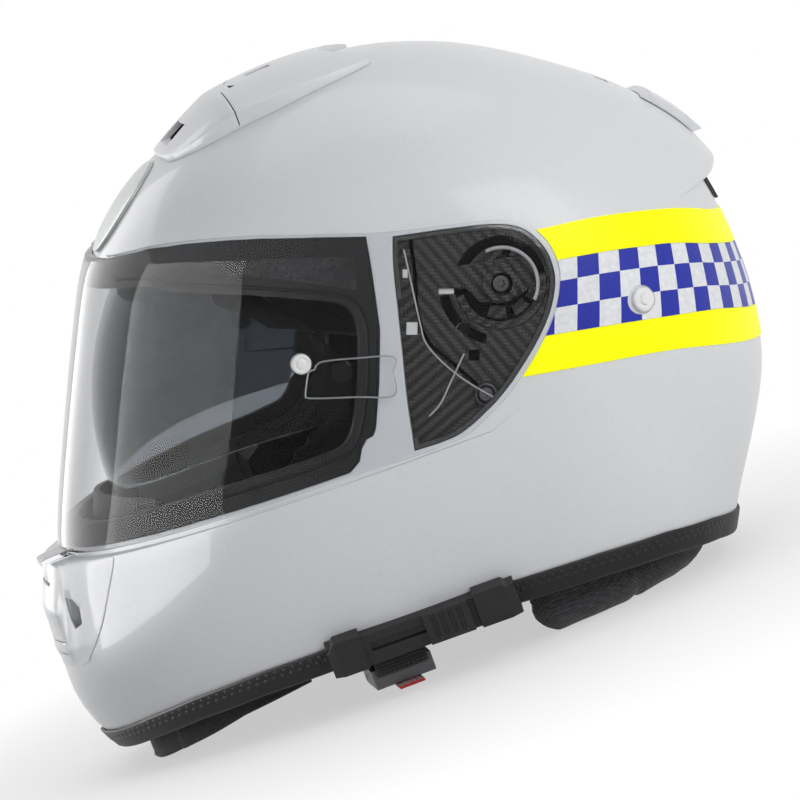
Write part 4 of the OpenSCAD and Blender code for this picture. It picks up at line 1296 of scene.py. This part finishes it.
def raised_plates():
    """Raised woven plate with its round well, its slots and the curved channel beside the well."""
    raised = plate(RAISED, PLATE_FOOT, -1.35, 0.45, 2.0, "side_plate_raised")
    channel = plain_outline(arc(27.6, 172, 236) + arc(23.0, 236, 172))
    trimmed(raised, rod(20.6, (CX, CZ), 72))
    trimmed(raised, rod(5.6, PLATE_SCREW))
    for line in ([(32.9, 138.3), (37.5, 136.5), (35.8, 131.9), (31.1, 133.7)],
                 [(29.9, 168.7), (36.4, 166.3), (35.3, 163.3), (28.8, 165.8)], channel):
        trimmed(raised, left_prism(line))
    rounded(raised, 0.25, 2, 50)
    fit_both(smooth(raised, 35), WEAVE_DOWN, "helmet")


def recess_rims():
    """Glossy rim along the rear of each recess."""
    wall = plate(grown(POD_LINE, -0.1), -4.2, -0.35, 0.3, 2.0, "recess_rim")
    trimmed(wall, left_prism(grown(POD_LINE, -1.9)))
    trimmed(wall, block((40, 60, 60), (-4, -120, 140)))
    rounded(wall, 0.4, 3, 50)
    fit_both(smooth(wall, 45), GLOSS, "helmet")


def mechanism():
    """Key, ring and teeth that the visor ratchets on, and the white tabs beside them."""
    key = plate(KEY, -4.0, -0.75, 0.35, 1.5, "mechanism_key")
    trimmed(key, rod(7.9, (CX, CZ), 48))
    fit_both(smooth(key, 35), WEAVE_DOWN, "helmet")
    fit_both(ring_piece(16.9, 20.2, 178, 352, -1.7, "mechanism_ring"), WEAVE_UP, "helmet")
    teeth = [ring_piece(*size, "tooth") for size in (
        (11.4, 15.6, 66, 132, -2.3), (9.0, 13.0, 80, 112, -1.6), (12.6, 15.6, 24, 52, -1.8),
        (10.4, 15.6, 228, 262, -2.3), (11.4, 15.8, 276, 304, -1.6), (13.0, 15.8, 312, 334, -2.3))]
    fit_both(joined("mechanism_teeth", teeth), WEAVE_UP, "helmet")
    tabs = [plate(line, PART_FOOT, top, 0.2, 1.0, "tab") for line, top in (
        ([(29.9, 168.5), (36.2, 166.2), (35.3, 163.6), (29.0, 165.9)], -2.2),
        ([(11.7, 159.0), (16.1, 157.3), (14.1, 152.1), (9.6, 153.8)], -3.4),
        ([(18.0, 181.3), (20.0, 180.6), (18.7, 177.1), (16.7, 177.8)], -3.4))]
    fit_both(joined("white_tabs", tabs), MILKY, "helmet")


def star_screw(place, depth, r, name):
    """Countersunk screw with a six-lobed drive."""
    x, z = place
    y = float(skin_y(x, z, depth))
    screw = turned_part([(0, y - 3.0), (1.9, y - 3.0), (1.9, y - 1.2), (r, y - 0.2), (r, y + 0.2),
                         (r - 0.3, y + 0.45),
                         (r * 0.62, y + 0.6), (0, y + 0.6)], place, 40, name)
    star = [(x + q * math.cos(math.radians(a)), z + q * math.sin(math.radians(a)))
            for a, q in ((k * 30, r * (0.52 if k % 2 else 0.36)) for k in range(12))]
    trimmed(screw, prism(plain_outline(curve(star + [star[0]], 3)[:-1]), -(y + 9), -(y - 0.7)))
    rounded(screw, 0.07, 1, 50)
    return smooth(screw, 30)


def hubs_and_screws():
    """Hub that the visor turns on, its screw, the lower plate screw in its collar, and the locating pin."""
    y = HALF_W
    hub = turned_part([(6.1, y - 4.2), (5.9, y - 1.2), (6.3, y + 0.6), (8.05, y + 0.7), (8.05, y + 3.7),
                       (7.8, y + 4.0),
                       (5.3, y + 4.1), (4.9, y + 3.8), (4.7, y + 2.0), (4.5, y - 0.4), (2.2, y - 0.5),
                       (2.1, y - 4.2)],
                      (CX, CZ), 64, "visor_hub")
    fit_both(hub, WEAVE_DOWN, "helmet", "left_visor_hub", "right_visor_hub")
    collar = turned_part([(5.0, 0), (5.0, 1.0), (4.2, 1.2), (3.7, 0.6), (3.5, -1.0), (4.4, -1.2)], (0, 0), 40,
                         "screw_collar")
    x, z = PLATE_SCREW
    move_points(collar, points_of(collar) + np.array([x, -float(skin_y(x, z, -2.5)), z]))
    fit_both(collar, SMOOTH, "helmet")
    left = joined("plate_screw_set", [star_screw((CX, CZ), 0, 3.9, "hub_screw"),
                                      star_screw(PLATE_SCREW, -2.6, 3.2, "plate_screw")])
    both = joined("plate_screw_set", [mirrored(left, "pair"), left])
    fitted(both, DARK_STEEL, "plate_screws")
    y = float(skin_y(*LOCATING_PIN, VISOR_OUT))
    pin = turned_part([(0, y - 3.2), (2.2, y - 3.2), (2.5, y - 3.0), (3.3, y - 2.4), (3.3, y + 0.9),
                       (3.0, y + 1.3),
                       (2.1, y + 1.3), (1.8, y + 0.7), (0, y + 0.6)], LOCATING_PIN, 40, "locating_pin")
    fit_both(pin, CLEAR, "visor")


# Crown vent
def hood_form(d):
    """The helmet's form at distance d with the swell of the hood on it."""
    def swelled(t, a):
        r = 8.0 * swell(t) * np.exp(-(np.abs(a) / 34.0) ** 4) * np.clip(np.cos(np.radians(a)), 0, 1) ** ROUND
        return surface(t, a, d) + np.stack([r * np.cos(np.radians(t)), 0 * r, r * np.sin(np.radians(t))], -1)
    return even_form(300, 120, swelled)


def crown_vent():
    """Hood over the crown inlet: swelled middle, side fins, finger pocket and inlet mouth."""
    plan = [(x, y) for x, y in curve(VENT_PLAN, 6)]
    plan = plain_outline(plan + [(x, -y) for x, y in plan[::-1]])
    hood = trimmed(hood_form(1.4), upright(plan, 200, 300), "INTERSECT")
    trimmed(hood, form(0.15))
    trimmed(hood, trimmed(hood_form(-1.2), upright(plain_outline(grown(plan, -2.2)), 200, 300), "INTERSECT"))
    mouth = [(-80, -17), (-40, -13.5), (-33, -12), (-33, 12), (-40, 13.5), (-80, 17)]
    slider_well, finger_pocket = block((31, 30.8, 8), (-2, 0, 268.3)), block((12, 9, 22), (-2, 0, 264))
    for cut in (upright(mouth, 257.4, 263.6), slider_well, finger_pocket):
        trimmed(hood, cut)
    for y0, y1 in ((-60, -14), (14, 60)):
        groove = prism([(-22, 250), (-21.4, 250), (-21.4, 290), (-22, 290)], y0, y1)
        trimmed(hood, trimmed(groove, form(1.2)))
    rounded(hood, 0.5, 2, 38)
    fitted(named(smooth(hood, 32), "crown_vent_hood"), WHITE, "top_vent_cover")


# Chin vent and rear outlets
NOSE = [(50, 0.0), (66, 0.0), (74, 0.9), (81.5, 2.1), (84, 2.0), (87, -0.9), (89.4, -2.1), (91.2, -2.1),
        (93.2, -0.6),
        (96.5, 0.1), (101, 0.0)]


def panel_form():
    """Outside of the chin vent panel: flush at its seam, proud in the middle, with a nose and a notch."""
    turns = np.concatenate([np.linspace(0.7, 180, 50), np.linspace(183, 199, 9), np.linspace(199.6, 240, 112),
                            np.linspace(242, 359.3, 40)])
    share = np.linspace(-1, 1, 131)
    sides = 90 * np.sign(share) * np.abs(share) ** 1.35

    def place(i, j):
        t, a = turns[i], sides[j]
        y, z = surface(t, a, 0.0, 1.0).T[1:]
        half = np.interp(z, [53.5, 55.5, 60, 66, 73.5, 83, 95, 100.5], [2, 38, 47, 54, 60, 65, 70.5, 72])
        gap = np.clip((half - np.abs(y)) / 15, 0, 1) * np.clip((z - 53) / 9, 0.15, 1)
        front = np.clip((32 - np.abs(y)) / 5, 0, 1)
        rise = 0.4 + 0.5 * gap + 1.7 * front * np.clip((z - 56) / 7, 0, 1) * np.clip((101 - z) / 5, 0, 1)
        rise = np.maximum(rise + np.interp(z, *zip(*NOSE)) * front, 0.45)
        return surface(t, a, rise, 1.0)
    return ball_form(len(turns), 130, place)


def chin_panel():
    """Raised vent panel on the nose of the chin bar, with its slit, two side inlets and two fine ridges."""
    half = [(y, z) for y, z in curve(PANEL, 6)]
    outline = plain_outline(half + [(-y, z) for y, z in half[::-1]])
    panel = trimmed(panel_form(), front_prism(outline), "INTERSECT")
    trimmed(panel, form(0.15, low=1))
    trimmed(panel, block((60, 30, 1.6), (-170, 0, 91.4)))
    inlet = [(33.5, 86), (41, 85.2), (47.5, 80.5), (46, 74), (38.5, 71.8), (35.5, 76.5)]
    for s in (-1, 1):
        trimmed(panel, front_prism([(s * y, z) for y, z in inlet]))
    for z in (66.3, 60.8):
        trimmed(panel, block((60, 54, 0.5), (-190, 0, z)))
    rounded(panel, 0.35, 2, 40)
    fitted(named(smooth(panel, 30), "chin_vent_panel"), WHITE, "chin_vent_cover")


def rear_outlets():
    """Blade over the rear slots and the small insert under the spoiler lip."""
    blade = trimmed(form(4.2, tail=True), block((60, 54, 23), (170, 0, 193.5)), "INTERSECT")
    trimmed(blade, trimmed(form(2.6, tail=True), block((80, 48, 31), (170, 0, 185.5)), "INTERSECT"))
    trimmed(blade, form(0.4, tail=True))
    rounded(blade, 0.7, 3, 38)
    fitted(named(smooth(blade, 34), "rear_blade"), WHITE, "rear_exhaust_cover")
    insert = trimmed(form(2.0), block((60, 44, 11), (180, 0, 155.5)), "INTERSECT")
    trimmed(insert, form(0.3))
    for y in (-16, -9.6, -3.2, 3.2, 9.6, 16):
        trimmed(insert, block((60, 3.4, 5), (180, y, 155.5)))
    rounded(insert, 0.35, 2, 40)
    fitted(named(smooth(insert, 34), "outlet_insert"), SMOOTH, "rear_exhaust_insert")


# Lining, curtain, guard and straps
def puffed(pad):
    """Blows the cloth cover of a pad up by a simulated pressure, and keeps the result."""
    cloth = pad.modifiers.new("cover", "CLOTH")
    cloth.settings.quality = 4
    cloth.settings.use_pressure = True
    cloth.settings.uniform_pressure_force = 4.0
    cloth.settings.effector_weights.gravity = 0.0
    cloth.collision_settings.use_collision = False
    for k in range(1, 21):
        bpy.context.scene.frame_set(k)
    only(pad)
    bpy.ops.object.modifier_apply(modifier="cover")
    bpy.context.scene.frame_set(1)


def pressed_back(co, source, bulge):
    """Points kept to their solid's surface, where only the side towards the head may bulge."""
    source.data.calc_loop_triangles()
    bound = BVHTree.FromPolygons([v.co.copy() for v in source.data.vertices],
                                 [tuple(t.vertices) for t in source.data.loop_triangles])
    head = Vector((22, 0, 90)) * MM
    for k, p in enumerate(co):
        near, n, _, _ = bound.find_nearest(Vector(p) * MM)
        if near is None:
            continue
        allow = bulge if n.dot((head - near).normalized()) > 0.35 else 0.0
        if (Vector(p) * MM - near).dot(n) / MM > allow:
            co[k] = np.array(near + n * allow * MM) / MM
    return co


def stuffed(node, name, finish, cap, bulge, voxel, seams, base=None):
    """Padded piece: foam under a cloth cover, blown up a little and then pressed on what carries it."""
    pad = copy_of(nodes[node], name)
    pad.data.materials.clear()
    pad.modifiers.clear()
    applied(pad, "REMESH", mode="VOXEL", voxel_size=voxel * MM)
    start = points_of(pad) - 0.7 * normals_of(pad)
    move_points(pad, start)
    puffed(pad)
    step = points_of(pad) - start
    size = np.maximum(np.linalg.norm(step, axis=1, keepdims=True), 1e-9)
    move_points(pad, start + step * np.minimum(1, cap / size))
    applied(pad, "SUBSURF", levels=1, render_levels=1)
    co = points_of(pad)
    co = pressed_back(co - normals_of(pad) * seams(co)[:, None], nodes[node], bulge)
    if base is not None:
        co[:, 2] = np.maximum(co[:, 2], base)
    move_points(pad, co)
    finish.paint(smooth(pad, 80))
    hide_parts(node)
    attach(pad, "helmet")


def channel(v, wide=1.9):
    """Depth of a stitched channel at distance v from its line, from 0 to 1."""
    return np.exp(-(v / wide) ** 2)


def crown_seams(co):
    """Stitched channels of the crown padding: two front to back, one across."""
    return 0.9 * np.maximum(channel(np.abs(co[:, 1]) - 27), channel(co[:, 0] - 18) * (np.abs(co[:, 1]) < 27))


def cheek_seams(co):
    """Stitched oval of a cheek cushion."""
    return 1.2 * channel(np.hypot((co[:, 0] + 6) / 52, (co[:, 2] - 68) / 40) - 0.72, 1 / 24)


def roll_seams(co):
    """Neck cushion: a seam towards each end and one along its foot."""
    around = np.degrees(np.arctan2(co[:, 1], co[:, 0] - 34))
    return channel(np.abs(around) - 62, 1.6) + 0.9 * channel(co[:, 2] - 15, 1.4)


def lining():
    """Crown padding, cheek cushions and neck cushion."""
    stuffed("crown_pad", "crown_padding", LINING, 2.0, 1.2, 4.0, crown_seams)
    stuffed("left_cheek_pad", "left_cheek_cushion", LINING, 5.0, 2.4, 4.5, cheek_seams)
    stuffed("right_cheek_pad", "right_cheek_cushion", LINING, 5.0, 2.4, 4.5, cheek_seams)
    stuffed("neck_roll", "neck_cushion", SOFT_GREY, 5.0, 1.6, 4.0, roll_seams, 0.15)


def curtain():
    """Stretch-cloth curtain under the chin, with a rolled hem."""
    corners = [(-151.5, 0), (-149, 15), (-141, 30), (-125, 52), (-100, 71), (-76, 83.5)]
    half = [(x, y - 2.0) for x, y in curve(corners, 14)]
    half[0] = (-149.5, 0.0)
    half = [(x + (2.0 if y < 30 else 0.8), max(y, 0.0)) for x, y in half if x < -79.2]
    line = np.array([(x, -y) for x, y in half[::-1]] + half[1:])
    s = along(line)
    n, rows = len(line), 14
    bpy.ops.mesh.primitive_grid_add(x_subdivisions=n - 1, y_subdivisions=rows, size=2)
    sheet = bpy.context.object
    co = points_of(sheet) * MM
    i = np.rint((co[:, 0] + 1) / 2 * (n - 1)).astype(int)
    up = (co[:, 1] + 1) / 2
    x, y = line[i, 0], line[i, 1]
    foot_x, foot_z = [-170, -148, -134, -110, -79], np.array([0.9, 0.9, 5.6, 13, 19])
    low = np.interp(x, foot_x, foot_z)
    top = np.interp(x, [-170, -145, -130, -110, -79], [18.6, 19.4, 20.4, 22.2, 23.6])
    fold = 0.45 * np.sin(s[i] / 5.2) * np.sin(math.pi * up)
    middle = np.hypot(x + 60, y)
    folded = [x + fold * (x + 60) / middle, y + fold * y / middle, low + (top - low) * up]
    move_points(sheet, np.stack(folded, 1))
    applied(sheet, "SOLIDIFY", thickness=1.6 * MM, offset=0.0)
    face_out(sheet)
    rounded(sheet, 0.4, 2, 50)
    named(smooth(sheet, 60), "curtain_cloth")
    hem_z = np.interp(line[:, 0], foot_x, foot_z + 0.3)
    hem = tube([(px, py, float(pz)) for (px, py), pz in zip(line, hem_z)], 1.15, 10, "curtain_hem")
    for o in (sheet, hem):
        CURTAIN.paint(o)
        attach(o, "helmet")
    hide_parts("chin_curtain")


def breath_guard():
    """Moulded rubber guard over the nose."""
    line = [(-160, 70), (-98, 70), (-92, 92), (-104, 108), (-122, 119), (-160, 119), (-160, 70)]
    guard = trimmed(form(-SHELL - 21, low=1), prism(curve(line, 3)[:-1], -60, 60), "INTERSECT")
    trimmed(guard, form(-SHELL - 24, low=1))
    rounded(guard, 0.7, 3, 40)
    fitted(named(smooth(guard, 36), "breath_guard"), RUBBER, "breath_deflector")


def ribbon(name, path, x, width, thick):
    """Flat strap: path in (y, z), woven width along X."""
    q = np.array(path)
    n = len(q)
    bpy.ops.mesh.primitive_grid_add(x_subdivisions=n - 1, y_subdivisions=8, size=2)
    band = bpy.context.object
    lay = band.data.uv_layers[0]
    lay.name = "lay"
    co = points_of(band) * MM
    i = np.rint((co[:, 0] + 1) / 2 * (n - 1)).astype(int)
    side = co[:, 1]
    move_points(band, np.stack([x + side * width / 2, q[i, 0], q[i, 1]], 1))
    set_lay(band, lay, along(q)[i] * MM, side * width / 2 * MM)
    applied(band, "SOLIDIFY", thickness=thick * MM, offset=0.0)
    face_out(band)
    rounded(band, thick * 0.3, 2, 50)
    return named(smooth(band, 60), name)


def straps():
    """Chin strap on each side and the red tab on the buckle's lever."""
    edge_y = HALF_W - 36.4
    buckle_y, tab_z = 7.6 - edge_y, 4.0
    left = [(q[0] - edge_y, q[1]) for q in ((0, 61), (0, 38), (1.3, 24), (3.8, 14), (6.6, 10.4))]
    right = [(q[0] + edge_y, q[1]) for q in ((0, 61), (0, 38), (-1.3, 24), (-6.6, 12.5), (-22.6, 7))]
    right += [(30, 5.4), (buckle_y + 77, 7), (buckle_y + 53, 9.1)]
    for name, node, points in (("left_webbing", "left_strap", left), ("right_webbing", "right_strap", right)):
        low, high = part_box(node)
        path = [q for q in curve(points, 6) if low[1] / MM - 0.1 < q[0] < high[1] / MM + 0.1]
        fitted(ribbon(name, path, -39, 24, 1.9), STRAP, node)
    sag = ((10, 0), (5, -0.1), (0, 0), (-5, 0.05), (-9, 0), (-10, 0))
    tab_path = [(buckle_y + dy, tab_z + dz) for dy, dz in sag]
    fitted(ribbon("red_pull_tab", tab_path, -38, 12, 1.2), RED, "buckle_tab", "buckle_lever")


# Carried-over pieces
def soften_edges(obj, width):
    """Small rounds on a carried-over hard part, so that its edges catch the light."""
    weld = obj.modifiers.new("weld", "WELD")
    weld.merge_threshold = 2e-5
    bevel = obj.modifiers.new("round", "BEVEL")
    bevel.width, bevel.segments = width * MM, 2
    bevel.limit_method, bevel.angle_limit = "ANGLE", math.radians(40)
    bevel.use_clamp_overlap = True


def dress_carried_parts():
    """Finishes of the CAD parts, by their slot, and rounds on those that stay in view."""
    by_slot = {"shell_white": WHITE, "rubber_black": RUBBER, "foam_black": FOAM, "lining_grey": LINING,
               "fabric_black": CURTAIN, "clear": CLEAR, "smoke": SMOKE, "plastic_black": BLACK,
               "weave_plate": WEAVE_UP, "white_plastic": MILKY, "steel": STEEL, "yellow_film": YELLOW,
               "check_film": CHECKS, "badge_grey": BADGE, "red_webbing": RED}
    for part in frame["record"]["subparts"]:
        by_slot[part["material_slot"]].paint(nodes[part["node"]])
    MILKY.paint(nodes["top_vent_grille"])
    DARK_STEEL.paint(nodes["buckle_body"], nodes["buckle_pin"])
    for name, width in (("lever_track", 0.5), ("lever_slider", 0.45), ("buckle_body", 0.5),
                        ("buckle_lever", 0.4),
                        ("strap_tongue", 0.2), ("strap_hangers", 0.3), ("top_vent_slider", 0.4),
                        ("chin_vent_shutter", 0.2)):
        soften_edges(nodes[name], width)


# Studio, lamps and camera; lengths from here on are in metres
def seen_rays(t):
    """1 for the rays that see a surface itself or its mirror image, 0 for those that only carry light."""
    path = t.nodes.new("ShaderNodeLightPath").outputs
    return sums(t, "MAXIMUM", path["Is Camera Ray"],
                sums(t, "MAXIMUM", path["Is Glossy Ray"], path["Is Transmission Ray"]))


def mixed(t, factor, a, b, target):
    """Mixes two shaders into the target."""
    mix = t.nodes.new("ShaderNodeMixShader")
    for socket, source in zip(mix.inputs, (factor, a.outputs[0], b.outputs[0])):
        wire(t, source, socket)
    wire(t, mix.outputs[0], target)


def shader_of(t, kind, colour, **values):
    """Simple shader node with its colour."""
    node = t.nodes.new(kind)
    for label, value in {"Color": (*colour, 1), **values}.items():
        node.inputs[label].default_value = value
    return node


def pale_floor():
    """Floor that takes the shadow near the helmet and turns into plain white further out."""
    bpy.ops.mesh.primitive_circle_add(vertices=96, radius=6.0, fill_type="NGON", location=(0, 0, -0.0004))
    floor = bpy.context.object
    floor.name = "studio_floor"
    mat = bpy.data.materials.new("pale_floor")
    mat.use_nodes = True
    t = mat.node_tree
    t.nodes.remove(t.nodes["Principled BSDF"])
    matt = shader_of(t, "ShaderNodeBsdfDiffuse", (0.93, 0.93, 0.93))
    glow = shader_of(t, "ShaderNodeEmission", (1, 1, 1), Strength=1.0)
    length = t.nodes.new("ShaderNodeVectorMath")
    length.operation = "LENGTH"
    wire(t, t.nodes.new("ShaderNodeTexCoord").outputs["Object"], length.inputs[0])
    far = ranged(t, length.outputs["Value"], 0.16, 0.36, 0.55, 1.0)
    mixed(t, sums(t, "MULTIPLY", far, seen_rays(t)), matt, glow, t.nodes["Material Output"].inputs[0])
    floor.data.materials.append(mat)


def white_world():
    """Surroundings that look white and light the helmet softly."""
    world = bpy.data.worlds.new("white_studio")
    bpy.context.scene.world = world
    world.use_nodes = True
    t = world.node_tree
    t.nodes.clear()
    soft, full = (shader_of(t, "ShaderNodeBackground", (1, 1, 1), Strength=power) for power in (0.36, 1.0))
    mixed(t, seen_rays(t), soft, full, t.nodes.new("ShaderNodeOutputWorld").inputs[0])


def softbox(name, place, aim, size, watts):
    """Rectangular lamp that faces its aim."""
    lamp = bpy.data.lights.new(name, "AREA")
    lamp.shape, lamp.energy = "RECTANGLE", watts
    lamp.size, lamp.size_y = size
    o = bpy.data.objects.new(name, lamp)
    bpy.context.scene.collection.objects.link(o)
    o.location = place
    o.rotation_euler = (Vector(aim) - Vector(place)).to_track_quat("-Z", "Y").to_euler()
    return o


def studio():
    """Floor, surroundings and lamps: three that light the helmet and two walls that only mirror in it."""
    pale_floor()
    white_world()
    helmet, wall_height = (0.008, 0, 0.13), (0, 0, 0.3)
    softbox("key_softbox", (1.1, -1.7, 1.0), helmet, (1.3, 1.3), 18.0)
    softbox("fill_softbox", (1.5, -1.3, 0.6), helmet, (1.2, 1.2), 5.0)
    softbox("top_softbox", (0.3, 0.6, 2.0), helmet, (1.4, 1.4), 7.0)
    for name, place, watts in (("wall_softbox_side", (-1.36, -0.24, 0.3), 105.0),
                               ("wall_softbox_front", (-1.0, 0.95, 0.3), 25.0)):
        o = softbox(name, place, wall_height, (1.6, 2.0), watts)
        o.visible_diffuse = o.visible_camera = o.visible_transmission = False
    bpy.context.scene.view_settings.view_transform = "Standard"


def camera():
    """Camera that sees the helmet as the photograph does, pitched nose down."""
    distance, view_width, sensor = 6.0, 0.3585, 36
    cam = bpy.data.cameras.new("photo_camera")
    o = bpy.data.objects.new("photo_camera", cam)
    bpy.context.scene.collection.objects.link(o)
    right, up = Vector((0.936, 0, -0.352)), Vector((0.352, 0, 0.936))
    back = (Vector((0, -1, 0)) - 0.123 * right + 0.088 * up).normalized()
    right = (right - right.dot(back) * back).normalized()
    up = back.cross(right)
    centre = Vector((0.0078, 0, 0.112))
    turn = Matrix((right, up, back)).transposed().to_4x4()
    o.matrix_world = Matrix.Translation(centre + back * distance) @ turn
    cam.sensor_width, cam.lens = sensor, sensor * distance / view_width
    cam.clip_start, cam.clip_end = 0.1, 50
    bpy.context.scene.camera = o


camera()
studio()
dress_carried_parts()
helmet_shell()
edge_trim()
eye_seal()
brow_cloth()
clear_visor()
lift_tab()
visor_marks()
insert_pins()
sun_visor()
reflective_bands()
snap_studs()
forehead_badge()
base_plates()
raised_plates()
recess_rims()
mechanism()
hubs_and_screws()
crown_vent()
chin_panel()
rear_outlets()
lining()
curtain()
breath_guard()
straps()
